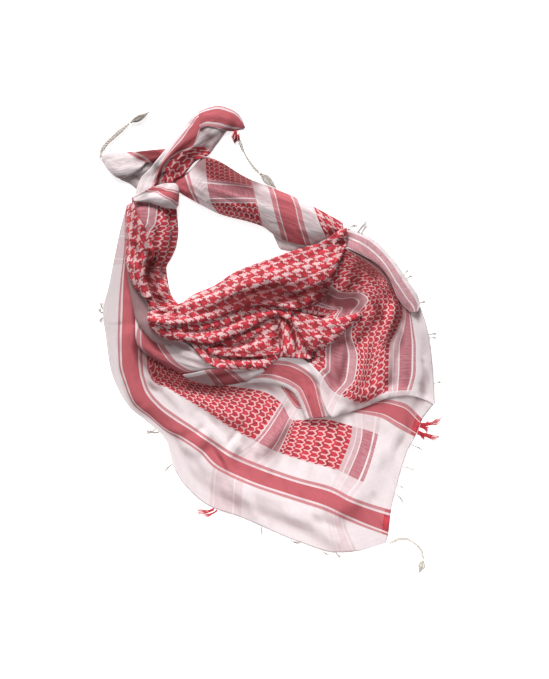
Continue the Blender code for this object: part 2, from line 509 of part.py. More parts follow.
# A strip of fringe beside an edge: the stretch, its edge, where the strip runs along it, and its threads
Fringe = namedtuple("Fringe", "name stretch edge low high colour strands")

TASSELS = (
    # columns of a route: x and y in cm, half the cord's width in mm
    Tassel("left", "tail_left",
           ((-34.0, 36.3, 1.8), (-33.8, 37.5, 3.0), (-33.2, 38.6, 4.4), (-32.5, 39.5, 4.2),
            (-31.4, 40.5, 4.4), (-30.2, 41.6, 4.8), (-29.0, 42.6, 3.2), (-28.1, 43.4, 2.2)),
           28.0, 3.6, 4.0, 0.5),
    Tassel("right", "tail_right_end",
           ((-6.2, 41.4, 1.8), (-6.2, 40.5, 2.0), (-5.9, 39.3, 3.8), (-5.6, 38.4, 3.2), (-5.1, 37.4, 1.8),
            (-4.3, 36.0, 2.4), (-3.1, 34.4, 2.8), (-2.2, 33.5, 2.4)),
           -42.0, 4.0, 4.2, 0.3),
    Tassel("corner", "lower_panel",
           ((23.7, -40.7, 1.8), (24.8, -40.2, 3.2), (26.0, -39.7, 3.4), (27.2, -39.7, 3.0),
            (28.4, -40.3, 2.6), (29.6, -41.2, 2.8), (30.3, -42.2, 2.6), (30.7, -43.8, 1.8)),
           -108.0, 3.6, 2.4, 0.3),
)
# The short red tassel hangs just below the end of the right tail.
RED_TUFT = RedTuft("tail_right_end", (-6.95, 41.1), -94.0, 4.0, 2.0, 0.12)

ALONG_EDGE, END_EDGE = "along", "end"
FRINGES = (
    Fringe("fringe_turnover", "right_turnover", ALONG_EDGE, 50.5, 74.5, CORD,
           (Strand(54.2, (1.2, 0.3), 1.6), Strand(61.0, (1.1, 0.7), 1.6), Strand(61.8, (0.9, 1.0), 1.2),
            Strand(71.2, (1.2, 1.6), 1.6), Strand(71.9, (1.7, 2.0), 2.2), Strand(74.0, (1.9, 0.6), 1.4))),
    Fringe("fringe_right", "right_panel", END_EDGE, 37.0, 52.0, CORD,
           (Strand(51.0, (1.4, 0.3), 1.6), Strand(50.4, (1.3, -0.3), 1.4), Strand(39.4, (1.2, 0.4), 1.4))),
    Fringe("fringe_band", "lower_panel", END_EDGE, 29.6, 34.0, RED,
           (Strand(33.4, (3.6, 0.8), 3.0), Strand(32.6, (2.6, 0.8), 2.2), Strand(30.4, (3.5, -0.4), 3.0),
            Strand(31.0, (2.4, -0.9), 2.2))),
    Fringe("fringe_corner", "lower_panel", END_EDGE, 14.0, 28.6, CORD,
           (Strand(27.6, (2.4, -1.0), 1.4), Strand(22.6, (2.3, -0.4), 1.4), Strand(18.2, (1.2, -0.6), 1.4),
            Strand(16.2, (1.4, -1.6), 1.6))),
    Fringe("fringe_hem", "lower_panel", ALONG_EDGE, 10.0, 31.0, CORD,
           (Strand(14.2, (0.9, -0.7), 2.0), Strand(16.4, (1.4, -0.7), 1.4), Strand(20.6, (2.0, -0.5), 1.4),
            Strand(23.6, (0.3, -1.8), 1.6), Strand(29.6, (-2.6, -0.9), 2.0),
            Strand(30.2, (-3.0, -0.2), 2.6))),
    Fringe("fringe_fold", "lower_panel", ALONG_EDGE, 43.0, 53.0, CORD,
           (Strand(44.2, (-1.4, -1.6), 1.6), Strand(50.4, (-2.4, 0.6), 2.0),
            Strand(51.4, (-2.0, -0.8), 1.6))),
    Fringe("fringe_left", "lower_panel", ALONG_EDGE, 77.0, 84.0, CORD,
           (Strand(79.0, (-0.4, -1.0), 2.0), Strand(80.0, (-0.6, 0.9), 2.6), Strand(81.0, (-0.2, 1.2), 2.0))),
)
STRIP_WIDTH = 1.6 * MM
STRIP_HEIGHT = 1.6 * MM
STRIP_CLEAR = 0.5 * MM      # from the cloth's edge to the strip


# ---------------------------------------------------------------- curves through the sections

def smooth_slopes(knots, values):
    """Slopes that keep a curve through the values free of overshoot."""
    steps = np.diff(knots)
    rates = np.diff(values) / steps
    slopes = np.zeros(len(values))
    slopes[0] = rates[0]
    slopes[-1] = rates[-1]
    for i in range(1, len(values) - 1):
        if rates[i - 1] * rates[i] > 0.0:
            before = 2.0 * steps[i] + steps[i - 1]
            after = steps[i] + 2.0 * steps[i - 1]
            slopes[i] = (before + after) / (before / rates[i - 1] + after / rates[i])
    return slopes


def smooth_at(knots, values, wanted):
    """The smooth curve through the values, read at the wanted places."""
    knots = np.asarray(knots, dtype=float)
    values = np.asarray(values, dtype=float)
    slopes = smooth_slopes(knots, values)
    spans = np.clip(np.searchsorted(knots, wanted, side="right") - 1, 0, len(knots) - 2)
    width = knots[spans + 1] - knots[spans]
    t = (wanted - knots[spans]) / width
    start = (1.0 + 2.0 * t) * (1.0 - t) ** 2 * values[spans]
    end = t * t * (3.0 - 2.0 * t) * values[spans + 1]
    leave = t * (1.0 - t) ** 2 * width * slopes[spans]
    arrive = t * t * (t - 1.0) * width * slopes[spans + 1]
    return start + end + leave + arrive


def places_between(knots, lengths, cell):
    """Places from the first knot to the last, about one cell apart and one on each knot."""
    places = [knots[0]]
    for low, high, length in zip(knots[:-1], knots[1:], lengths):
        count = max(1, round(length / cell))
        places.extend(low + (high - low) * (i + 1) / count for i in range(count))
    return np.array(places)


def crown_shape(share, rounded):
    """Height of a fold across its width, from 0 at a rounded edge to 1."""
    if rounded == FLAT:
        return np.zeros_like(share)
    if rounded == BOTH:
        offset = np.abs(2.0 * share - 1.0)
    elif rounded == FIRST:
        offset = 1.0 - np.minimum(share / ROLL_SHARE, 1.0)
    else:
        offset = 1.0 - np.minimum((1.0 - share) / ROLL_SHARE, 1.0)
    return np.sqrt(np.maximum(0.0, 1.0 - offset ** ROLL_POWER))


def cloth_net(stretch):
    """Places along and across a stretch, with its plan points in cm and lifts in mm on them."""
    rows = sorted(stretch.sections, key=lambda section: section.along)
    along = np.array([row.along for row in rows], dtype=float)
    across = np.array(stretch.across, dtype=float)
    points = np.array([row.points for row in rows], dtype=float)
    crowns = np.array([row.crown for row in rows], dtype=float)
    row_steps = np.linalg.norm(np.diff(points, axis=0), axis=2)
    column_steps = np.linalg.norm(np.diff(points, axis=1), axis=2)
    cell = PANEL_CELL if stretch.rounded == FLAT or len(across) > 6 else FOLD_CELL
    row_places = places_between(along, row_steps.mean(axis=1), cell)
    if len(across) == 2:
        column_places = np.linspace(across[0], across[1], max(4, round(column_steps.max() / cell)) + 1)
    else:
        column_places = places_between(across, np.percentile(column_steps, 75, axis=0), cell)
    on_rows = np.empty((len(row_places), len(across), 2))
    for column in range(len(across)):
        for axis in range(2):
            on_rows[:, column, axis] = smooth_at(along, points[:, column, axis], row_places)
    plan = np.empty((len(row_places), len(column_places), 2))
    for row in range(len(row_places)):
        for axis in range(2):
            plan[row, :, axis] = smooth_at(across, on_rows[row, :, axis], column_places)
    reach = np.linalg.norm(np.diff(plan, axis=1), axis=2).cumsum(axis=1)
    share = np.concatenate([np.zeros((len(plan), 1)), reach], axis=1) / reach[:, -1:]
    lift = smooth_at(along, crowns, row_places)[:, None] * crown_shape(share, stretch.rounded)
    for ridge in RIDGES.get(stretch.name, ()):
        lift = lift + ridge_lift(ridge, plan)
    return row_places, column_places, plan, lift


def ridge_lift(ridge, plan):
    """Lift in mm that a ridge gives to plan points."""
    start = np.array(ridge.start)
    run = np.array(ridge.end) - start
    share = np.clip(((plan - start) @ run) / (run @ run), 0.0, 1.0)
    distance = np.linalg.norm(plan - start - share[..., None] * run, axis=-1)
    fade = np.sqrt(np.sin(np.pi * np.clip(share, RIDGE_ENDS, 1.0 - RIDGE_ENDS)))
    return ridge.height * fade * np.exp(-(distance / ridge.reach) ** 2)


# ---------------------------------------------------------------- laying one layer on another

class Pile:
    """Height map of what has been laid, and the solids in it."""

    def __init__(self):
        size = [int(round((high - low) / MAP_CELL)) for low, high in zip(MAP_LOW, MAP_HIGH)]
        self.top = np.zeros(size)
        self.laid = {}

    def cells(self, plan):
        """Map cells of plan points in metres."""
        low = np.array(MAP_LOW) * CM
        index = ((plan - low) / (MAP_CELL * CM)).astype(int)
        return np.clip(index, 0, np.array(self.top.shape) - 1)

    def support(self, plan, reach=DRAPE_REACH):
        """Height in metres of the surface that cloth bridges over what is laid."""
        bridged = self.top.copy()
        for dx in range(-reach, reach + 1):
            for dy in range(-reach, reach + 1):
                if dx * dx + dy * dy <= reach * reach:
                    bridged = np.maximum(bridged, np.roll(self.top, (dx, dy), axis=(0, 1)))
        eased = bridged.copy()
        for _ in range(2):
            eased = sum(np.roll(eased, (dx, dy), axis=(0, 1)) for dx in (-1, 0, 1) for dy in (-1, 0, 1)) / 9.0
        low = np.array(MAP_LOW) * CM
        place = (plan - low) / (MAP_CELL * CM) - 0.5
        cell = np.floor(place).astype(int)
        part = place - cell
        cell = np.clip(cell, 0, np.array(self.top.shape) - 2)
        x, y = cell[:, 0], cell[:, 1]
        near = eased[x, y] * (1 - part[:, 1]) + eased[x, y + 1] * part[:, 1]
        far = eased[x + 1, y] * (1 - part[:, 1]) + eased[x + 1, y + 1] * part[:, 1]
        return near * (1 - part[:, 0]) + far * part[:, 0]

    def add(self, obj):
        """Put a finished solid in the pile."""
        points, faces = solid_faces(obj)
        tree = BVHTree.FromPolygons(points, faces)
        self.laid[obj.name] = (points.min(axis=0), points.max(axis=0), tree)
        triangles = points[np.array(faces)]
        for i in range(MAP_STEPS + 1):
            for j in range(MAP_STEPS + 1 - i):
                a, b = i / MAP_STEPS, j / MAP_STEPS
                spot = triangles[:, 0] * (1 - a - b) + triangles[:, 1] * a + triangles[:, 2] * b
                cell = self.cells(spot[:, :2])
                np.maximum.at(self.top, (cell[:, 0], cell[:, 1]), spot[:, 2] + GAP)

    def clashes(self, obj, drop):
        """Points of a solid, lowered by drop, whose faces cut into what is laid."""
        points, faces = solid_faces(obj)
        points[:, 2] -= drop
        tree = BVHTree.FromPolygons(points, faces)
        low, high = points.min(axis=0), points.max(axis=0)
        found = set()
        for name, (other_low, other_high, other) in self.laid.items():
            if name == obj.name or (low > other_high).any() or (high < other_low).any():
                continue
            for face, _ in tree.overlap(other):
                found.update(faces[face])
        return found

    def room(self, point, way, own, most):
        """Clear distance from a point to the nearest other solid, or 0 where none is that near."""
        gaps = [tree.ray_cast(point, way, most)[3]
                for name, (_, _, tree) in self.laid.items() if name != own]
        return min((gap for gap in gaps if gap is not None), default=0.0)


def solid_faces(obj):
    """Points and triangles of an object with its modifiers, in its own space."""
    graph = bpy.context.evaluated_depsgraph_get()
    shown = obj.evaluated_get(graph)
    mesh = shown.to_mesh()
    mesh.calc_loop_triangles()
    points = np.empty(len(mesh.vertices) * 3)
    mesh.vertices.foreach_get("co", points)
    faces = [tuple(triangle.vertices) for triangle in mesh.loop_triangles]
    shown.to_mesh_clear()
    return points.reshape(-1, 3), faces


def clear_pile(obj, pile):
    """Raise the points of a solid that cut into the pile until none does."""
    mesh = obj.data
    count = len(mesh.vertices)
    for _ in range(SETTLE_ROUNDS):
        bpy.context.view_layer.update()
        struck = {index % count for index in pile.clashes(obj, GAP)}
        if not struck:
            break
        for index in struck:
            mesh.vertices[index].co.z += GAP
        mesh.update()


def settle(obj, pile, seated=True):
    """Put a solid on the pile, just clear of it, and add it. A seated one follows what is under it."""
    clear_pile(obj, pile)
    if seated:
        for vert in obj.data.vertices:
            vert.co.z -= max(0.0, pile.room(vert.co, -UP, obj.name, SEAT_MOST) - SEAT_GAP)
        obj.data.update()
        clear_pile(obj, pile)
    pile.add(obj)


def swell(obj, pile):
    """Raise the upper points of a hidden solid to just under the cloth that lies over it."""
    mesh = obj.data
    for vert in mesh.vertices:
        if vert.co.z > SWELL_FROM:
            vert.co.z += max(0.0, pile.room(vert.co, UP, obj.name, SWELL_MOST) - SEAT_GAP)
    mesh.update()
    for _ in range(SETTLE_ROUNDS):
        bpy.context.view_layer.update()
        struck = pile.clashes(obj, -GAP)
        if not struck:
            break
        for index in struck:
            mesh.vertices[index].co.z = max(0.0, mesh.vertices[index].co.z - GAP / 2.0)
        mesh.update()


def lay_stretch(stretch, pile, collection, parent):
    """Make a stretch's wall and settle it on the pile. Returns its places and its underside's points."""
    along, across, plan, lift = cloth_net(stretch)
    rows, columns = lift.shape
    mesh = bpy.data.meshes.new(stretch.name)
    form = bmesh.new()
    bmesh.ops.create_grid(form, x_segments=columns - 1, y_segments=rows - 1, size=1.0)
    flat_plan = plan.reshape(-1, 2) * CM
    height = pile.support(flat_plan) + lift.reshape(-1) * MM
    order = []
    for vert in form.verts:
        column = round((vert.co.x + 1.0) / 2.0 * (columns - 1))
        row = round((vert.co.y + 1.0) / 2.0 * (rows - 1))
        order.append(row * columns + column)
    for vert, index in zip(form.verts, order):
        vert.co = (flat_plan[index, 0], flat_plan[index, 1], height[index])
    form.normal_update()
    if sum(face.normal.z for face in form.faces) < 0.0:
        bmesh.ops.reverse_faces(form, faces=form.faces)
    form.to_mesh(mesh)
    form.free()
    obj = place_object(stretch.name, mesh, stretch.colour, collection, parent)
    wall = obj.modifiers.new("wall", "SOLIDIFY")
    wall.thickness = WALL
    wall.offset = 1.0
    wall.use_quality_normals = True
    settle(obj, pile)
    mesh.shade_smooth()
    points = np.empty((rows * columns, 3))
    for vert, index in zip(mesh.vertices, order):
        points[index] = vert.co
    return along, across, points.reshape(rows, columns, 3)


# ---------------------------------------------------------------- solids that are not walls

def material(name, colour, roughness=0.85):
    """One plain finish."""
    made = bpy.data.materials.new(name)
    made.use_nodes = True
    shader = made.node_tree.nodes["Principled BSDF"]
    shader.inputs["Base Color"].default_value = colour
    shader.inputs["Roughness"].default_value = roughness
    shader.inputs["Metallic"].default_value = 0.0
    return made


def place_object(name, mesh, colour, collection, parent):
    """An object of the scarf, with its own finish."""
    obj = bpy.data.objects.new(name, mesh)
    obj.parent = parent
    collection.objects.link(obj)
    obj.data.materials.append(material(name, colour))
    return obj


def ringed_solid(name, rings, low, high, colour, collection, parent):
    """A closed solid whose rings, from the low pole to the high one, replace those of a sphere."""
    mesh = bpy.data.meshes.new(name)
    form = bmesh.new()
    count = len(rings[0])
    bmesh.ops.create_uvsphere(form, u_segments=count, v_segments=len(rings) + 1, radius=1.0)
    for vert in form.verts:
        ring = round(math.acos(max(-1.0, min(1.0, -vert.co.z))) / math.pi * (len(rings) + 1))
        if ring == 0:
            vert.co = low
        elif ring == len(rings) + 1:
            vert.co = high
        else:
            turn = round(math.atan2(vert.co.y, vert.co.x) / math.tau * count) % count
            vert.co = rings[ring - 1][turn]
    bmesh.ops.recalc_face_normals(form, faces=form.faces)
    form.to_mesh(mesh)
    form.free()
    return place_object(name, mesh, colour, collection, parent)


def hidden_heap(collection, parent):
    """The layers under the panels and the collar, flat below and stepped at the edge."""
    bearings = np.arange(len(HEAP_OUTLINE) + 1) * float(HEAP_STEP)
    table = np.array(HEAP_OUTLINE + HEAP_OUTLINE[:1])
    wanted = np.arange(0.0, 360.0, HEAP_STEP * 2.0 / 3.0)
    edge = smooth_at(bearings, table[:, 0], wanted)
    heap = smooth_at(bearings, table[:, 1], wanted)
    rings = []
    for spread, height in HEAP_PROFILE:
        reach = heap + spread * (edge - heap) if spread >= 0.0 else heap * (1.0 + spread)
        rings.append([((HEAP_CENTRE[0] + r * math.cos(math.radians(b))) * CM,
                       (HEAP_CENTRE[1] + r * math.sin(math.radians(b))) * CM, height * MM)
                      for r, b in zip(reach, wanted)])
    centre = Vector((HEAP_CENTRE[0] * CM, HEAP_CENTRE[1] * CM, 0.0))
    top = centre + Vector((0.0, 0.0, HEAP_TOP * MM))
    return ringed_solid("hidden_layers", rings, centre, top, CREAM, collection, parent)


def hidden_bar(name, stations, collection, parent):
    """The rolled or folded layers inside an arm, a tail or the knot."""
    table = np.array(stations, dtype=float)
    count = len(table) + 2
    wanted = np.linspace(0.0, len(table) - 1.0, count)
    knots = np.arange(len(table))
    x, y, half, height = (smooth_at(knots, table[:, column], wanted) for column in range(4))
    run = np.stack([np.gradient(x), np.gradient(y)], axis=1)
    run = run / np.linalg.norm(run, axis=1)[:, None]
    rings = []
    for i in range(count):
        side = np.array([run[i, 1], -run[i, 0]])
        rings.append([((x[i] + side[0] * half[i] * across) * CM, (y[i] + side[1] * half[i] * across) * CM,
                       height[i] * share * MM) for across, share in BAR_PROFILE])
    ends = []
    for i, sign in ((0, -1.0), (count - 1, 1.0)):
        reach = half[i] * BAR_ENDS[0] * sign
        ends.append(Vector(((x[i] + run[i, 0] * reach) * CM, (y[i] + run[i, 1] * reach) * CM,
                            height[i] * BAR_ENDS[1] * MM)))
    return ringed_solid(name, rings, ends[0], ends[1], CREAM, collection, parent)


def tube_mesh(name, points, radii):
    """A closed tube along points, as a welded mesh."""
    curve = bpy.data.curves.new(name, "CURVE")
    curve.dimensions = "3D"
    curve.bevel_depth = 1.0
    curve.bevel_resolution = 1
    curve.use_fill_caps = True
    spline = curve.splines.new("POLY")
    spline.points.add(len(points) - 1)
    for point, place, radius in zip(spline.points, points, radii):
        point.co = (*place, 1.0)
        point.radius = radius
    holder = bpy.data.objects.new(name, curve)
    bpy.context.scene.collection.objects.link(holder)
    bpy.context.view_layer.update()
    mesh = bpy.data.meshes.new_from_object(holder.evaluated_get(bpy.context.evaluated_depsgraph_get()))
    bpy.data.objects.remove(holder)
    bpy.data.curves.remove(curve)
    form = bmesh.new()
    form.from_mesh(mesh)
    bmesh.ops.remove_doubles(form, verts=form.verts, dist=1e-6)
    bmesh.ops.recalc_face_normals(form, faces=form.faces)
    form.to_mesh(mesh)
    form.free()
    mesh.materials.clear()
    return mesh


def tree_of(obj):
    """A search tree of a finished solid."""
    return BVHTree.FromPolygons(*solid_faces(obj))


def braid(tassel, carrier, pile, collection, parent):
    """A tassel's cord, from the cloth that carries it. Returns it and the plan point of its end."""
    route = np.array(tassel.route) * (CM, CM, MM)
    thickness = route[0, 2] * CORD_FLATNESS
    seat = tree_of(carrier).find_nearest((route[0, 0], route[0, 1], thickness))[0]
    away = route[0, :2] - np.array(seat[:2])
    route[0, :2] = np.array(seat[:2]) + away / np.linalg.norm(away) * 2.0 * GAP
    knots = np.arange(len(route))
    wanted = np.linspace(0.0, len(route) - 1.0, CORD_STATIONS)
    x, y, radii = (smooth_at(knots, route[:, column], wanted) for column in range(3))
    plan = np.stack([x, y], axis=1)
    height = pile.support(plan, TASSEL_REACH) + radii * CORD_FLATNESS
    height[0] = max(thickness, seat[2])
    name = "braid_" + tassel.name
    mesh = tube_mesh(name, np.column_stack([plan, height / CORD_FLATNESS]), radii)
    mesh.transform(Matrix.Diagonal((1.0, 1.0, CORD_FLATNESS, 1.0)))
    return place_object(name, mesh, CORD, collection, parent), plan[-1]


def tuft(name, centre, shape, colour, pile, collection, parent):
    """A knot with its loose threads, drawn out of the knot's own faces, spreading and closing again."""
    mesh = bpy.data.meshes.new(name)
    form = bmesh.new()
    bmesh.ops.create_uvsphere(form, u_segments=KNOT_SIDES, v_segments=KNOT_BANDS, radius=shape.knot * MM)
    heading = heading_of(shape.bearing)
    beside = Vector((-heading.y, heading.x, 0.0))
    forward = [face for face in form.faces
               if len(face.verts) == 4 and face.calc_center_median().normalized().dot(heading) > TUFT_FORWARD]
    step_length = shape.length * CM / len(TUFT_TURNS)
    for face in forward:
        out = face.calc_center_median().normalized()
        for turn in TUFT_TURNS:
            grown = bmesh.ops.extrude_discrete_faces(form, faces=[face])["faces"][0]
            middle = grown.calc_center_median()
            move = (heading + beside * (turn * shape.spread * out.dot(beside))) * step_length
            for vert in grown.verts:
                vert.co = middle + (vert.co - middle) * TUFT_TAPER + move
            face = grown
    seat = Vector((centre[0], centre[1], shape.knot * MM))
    seat.z += float(pile.support(np.array([[centre[0], centre[1]]]), TASSEL_REACH)[0])
    for vert in form.verts:
        vert.co += seat
    bmesh.ops.recalc_face_normals(form, faces=form.faces)
    form.to_mesh(mesh)
    form.free()
    return place_object(name, mesh, colour, collection, parent)


def heading_of(bearing):
    """Direction of a bearing in degrees."""
    return Vector((math.cos(math.radians(bearing)), math.sin(math.radians(bearing)), 0.0))


def meet(obj, heading, carrier):
    """Slide a solid back along its heading until it is a gap from its carrier."""
    tree = tree_of(carrier)
    for _ in range(MEET_STEPS):
        bpy.context.view_layer.update()
        points, faces = solid_faces(obj)
        if tree.overlap(BVHTree.FromPolygons(points - np.array(heading) * GAP, faces)):
            return
        obj.data.transform(Matrix.Translation(heading * (-GAP / 2.0)))


def tassel_on_cord(tassel, pile, collection, parent):
    """A cord and the knotted tuft that its end meets."""
    cord, end = braid(tassel, bpy.data.objects[tassel.carrier], pile, collection, parent)
    heading = heading_of(tassel.bearing)
    reach = tassel.knot * MM + 2.0 * GAP
    centre = (end[0] + reach * heading.x, end[1] + reach * heading.y)
    head = tuft("tuft_" + tassel.name, centre, tassel, CORD, pile, collection, parent)
    settle(cord, pile)
    settle(head, pile, seated=False)
    meet(head, heading, cord)


def red_tassel(pile, collection, parent):
    """The short red tassel at the end of the right tail."""
    place = (RED_TUFT.place[0] * CM, RED_TUFT.place[1] * CM)
    head = tuft("tuft_red", place, RED_TUFT, RED, pile, collection, parent)
    settle(head, pile, seated=False)
    meet(head, heading_of(RED_TUFT.bearing), bpy.data.objects[RED_TUFT.carrier])


def edge_of(net, edge, low, high):
    """Points of a stretch's edge between two places, its own mesh points among them, and which way is out."""
    along, across, points = net
    if edge == ALONG_EDGE:
        places, line, inner = along, points[:, 0], points[:, 1]
    else:
        places, line, inner = across, points[0], points[1]
    wanted = np.unique(np.concatenate([[low, high], places[(places > low) & (places < high)]]))
    route = np.stack([np.interp(wanted, places, line[:, axis]) for axis in range(3)], axis=1)
    inside = np.stack([np.interp(wanted, places, inner[:, axis]) for axis in range(3)], axis=1)
    run = np.gradient(route[:, :2], axis=0)
    run = run / np.linalg.norm(run, axis=1)[:, None]
    out = np.stack([run[:, 1], -run[:, 0]], axis=1)
    if ((route[:, :2] - inside[:, :2]) * out).sum() < 0.0:
        out = -out
    return wanted, route, out


def fringe(row, nets, pile, collection, parent):
    """A narrow strip beside a stretch's edge, with loose threads drawn out of its outer side."""
    places, route, out = edge_of(nets[row.stretch], row.edge, row.low, row.high)
    lengths = np.concatenate([[0.0], np.linalg.norm(np.diff(route[:, :2], axis=0), axis=1).cumsum()])
    stations = list(lengths)
    roots = []
    for strand in row.strands:
        half = strand.width * MM / 2.0
        place = np.interp(strand.place, places, lengths)
        middle = float(np.clip(place, 2.0 * half, lengths[-1] - 2.0 * half))
        roots.append((middle - half, middle + half))
        stations += roots[-1]
    stations = np.unique(stations)
    line = np.stack([np.interp(stations, lengths, route[:, axis]) for axis in range(3)], axis=1)
    side = np.stack([np.interp(stations, lengths, out[:, axis]) for axis in range(2)], axis=1)
    form = bmesh.new()
    bmesh.ops.create_grid(form, x_segments=len(stations) - 1, y_segments=1, size=1.0)
    for vert in form.verts:
        station = round((vert.co.x + 1.0) / 2.0 * (len(stations) - 1))
        reach = STRIP_CLEAR + (STRIP_WIDTH if vert.co.y > 0.0 else 0.0)
        spot = line[station, :2] + side[station] * reach
        vert.co = (spot[0], spot[1], line[station, 2])
    lower = list(form.faces)
    raised = bmesh.ops.extrude_face_region(form, geom=lower)["geom"]
    for item in raised:
        if isinstance(item, bmesh.types.BMVert):
            item.co.z += STRIP_HEIGHT
    bmesh.ops.recalc_face_normals(form, faces=form.faces)
    for (low, high), strand in zip(roots, row.strands):
        middle = (low + high) / 2.0
        spot = [np.interp(middle, stations, line[:, axis]) for axis in range(3)]
        away = [np.interp(middle, stations, side[:, axis]) for axis in range(2)]
        reach = STRIP_CLEAR + STRIP_WIDTH
        root = Vector((spot[0] + away[0] * reach, spot[1] + away[1] * reach, spot[2] + STRIP_HEIGHT / 2.0))
        walls = [face for face in form.faces if abs(face.normal.z) < 0.5]
        nearest = min(walls, key=lambda face: (face.calc_center_median() - root).length)
        draw_strand(form, nearest, strand, pile)
    mesh = bpy.data.meshes.new(row.name)
    form.to_mesh(mesh)
    form.free()
    settle(place_object(row.name, mesh, row.colour, collection, parent), pile, seated=False)


def draw_strand(form, face, strand, pile):
    """Draw one thread out of a face, bending towards its run and down to what it lies on."""
    start = face.calc_center_median()
    normal = face.normal.copy()
    run = Vector((strand.run[0] * CM, strand.run[1] * CM, 0.0))
    ease = normal * (run.length * STRAND_EASE)
    for share, scale in STRAND_STEPS:
        grown = bmesh.ops.extrude_discrete_faces(form, faces=[face])["faces"][0]
        centre = grown.calc_center_median()
        spot = start + run * share + ease * (share * (1.0 - share))
        thick = max(abs(vert.co.z - centre.z) for vert in grown.verts) * scale
        rest = float(pile.support(np.array([[spot.x, spot.y]]), TASSEL_REACH)[0]) + GAP + thick
        spot.z = start.z + (rest - start.z) * min(1.0, share * STRAND_DROP)
        for vert in grown.verts:
            vert.co = spot + (vert.co - centre) * scale
        face = grown


# ---------------------------------------------------------------- the scarf

STRETCHES = (
    ARM_FLAP, LOWER_PANEL, ARCH_FOLD, RIGHT_PANEL, RIGHT_TURNOVER, MID_FOLD, TWIST_FOLD, NECK_FOLD,
    RIGHT_ARM, LEFT_ARM_WAVE, LEFT_ARM_HOUNDSTOOTH, SWIRL_LOW, SWIRL_MIDDLE, SWIRL_RIGHT, RIGHT_LIP,
    SWIRL_LIP, COLLAR_ROLL, TAIL_LEFT_BACK, TAIL_LEFT, TAIL_RIGHT, TAIL_RIGHT_END, KNOT_WRAP,
)


def clear_scene():
    """Remove every object that is in the scene."""
    for obj in list(bpy.data.objects):
        bpy.data.objects.remove(obj)


def build_scarf():
    """Make the scarf, bottom layer first."""
    clear_scene()
    collection = bpy.data.collections.new("keffiyeh")
    bpy.context.scene.collection.children.link(collection)
    parent = bpy.data.objects.new("keffiyeh_origin", None)
    collection.objects.link(parent)
    pile = Pile()
    hidden = [hidden_heap(collection, parent)]
    hidden += [hidden_bar(name, stations, collection, parent) for name, stations in BARS.items()]
    for obj in hidden:
        pile.add(obj)
    nets = {stretch.name: lay_stretch(stretch, pile, collection, parent) for stretch in STRETCHES}
    for obj in hidden:
        swell(obj, pile)
    for tassel in TASSELS:
        tassel_on_cord(tassel, pile, collection, parent)
    red_tassel(pile, collection, parent)
    for row in FRINGES:
        fringe(row, nets, pile, collection, parent)
    parent.location = (-LAY_CENTRE[0] * CM, -LAY_CENTRE[1] * CM, 0.0)


build_scarf()
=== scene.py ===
"""Red-and-white keffiyeh headscarf, folded, knotted and laid flat: its cloth, threads and finishes.

Plan sizes are in centimetres from the scarf's drafting point, lifts, creases and thread sizes in millimetres.
"""

import logging
import math
from dataclasses import dataclass, field
from enum import Enum
from typing import Callable, Optional, Sequence, Union

import bmesh
import bpy
import numpy as np
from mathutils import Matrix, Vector
from mathutils.bvhtree import BVHTree


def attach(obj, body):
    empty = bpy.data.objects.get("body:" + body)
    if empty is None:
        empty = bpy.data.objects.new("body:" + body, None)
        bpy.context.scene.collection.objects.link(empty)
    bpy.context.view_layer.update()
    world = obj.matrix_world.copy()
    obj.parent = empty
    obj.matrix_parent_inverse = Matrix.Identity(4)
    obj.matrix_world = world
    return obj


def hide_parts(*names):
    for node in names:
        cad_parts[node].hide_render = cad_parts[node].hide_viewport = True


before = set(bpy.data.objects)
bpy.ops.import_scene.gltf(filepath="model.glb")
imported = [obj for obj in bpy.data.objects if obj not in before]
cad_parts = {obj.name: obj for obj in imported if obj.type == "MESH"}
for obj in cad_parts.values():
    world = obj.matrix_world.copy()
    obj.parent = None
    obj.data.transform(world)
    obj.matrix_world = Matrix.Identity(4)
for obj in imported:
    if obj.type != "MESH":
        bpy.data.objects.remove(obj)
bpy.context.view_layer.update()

LOG = logging.getLogger("keffiyeh")

CM = 0.01
MM = 0.001
PLAN_SHIFT = (0.05, 0.2)     # cm, from the drafting point to the middle of the laid scarf
CLOTH = 0.8 * MM             # thickness of the cloth
CLEAR = 0.35 * MM            # kept between one layer and the next
PANEL_CELL = 2.3             # cm, cell of the solid's panels
FOLD_CELL = 1.6              # cm, cell of the solid's folds
FINE_CELL = 0.32             # cm, cell of the cloth
MAP_LOW = (-42.0, -54.0)     # cm, corner of the height map
MAP_HIGH = (44.0, 54.0)
MAP_CELL = 0.16              # cm
STRIP_CLEAR = 0.5 * MM       # from the cloth's edge to the fringe's strip
STRIP_WIDTH = 1.6 * MM

Grid = np.ndarray
Point = tuple[float, float]
Socket = bpy.types.NodeSocket
Value = Union[float, Socket]


class Rounded(Enum):
    """Which edges of a stretch are rolled under."""

    BOTH = "both"
    FIRST = "first"
    LAST = "last"
    FLAT = "flat"


class Finish(Enum):
    """The cloth that a stretch shows."""

    WOVEN = "woven face"
    REVERSE = "woven reverse"
    CHECK = "houndstooth"
    PLAIN = "plain cloth"


@dataclass(frozen=True)
class Row:
    """One section across a stretch: its place on the cloth, its puff in mm and its plan points in cm."""

    along: float
    crown: float
    points: tuple[Point, ...]


@dataclass(frozen=True)
class Mark:
    """The cloth's own places in cm, across and along the square, in line across a stretch."""

    along: float
    places: tuple[Point, ...]


@dataclass(frozen=True)
class Stretch:
    """One stretch of the cloth that shows, from its first section to its last."""

    name: str
    finish: Finish
    across: tuple[float, ...]
    rounded: Rounded
    rows: tuple[Row, ...]


@dataclass(frozen=True)
class Ridge:
    """A soft raised fold of the solid between two plan points, with its reach in cm and its height in mm."""

    start: Point
    end: Point
    reach: float
    height: float


@dataclass(frozen=True)
class Crease:
    """A crease or soft ridge along plan points: reach in cm, height in mm, and how much painted shade it gets
    (below 0, painted light).
    """

    reach: float
    height: float
    points: tuple[Point, ...]
    shade: float


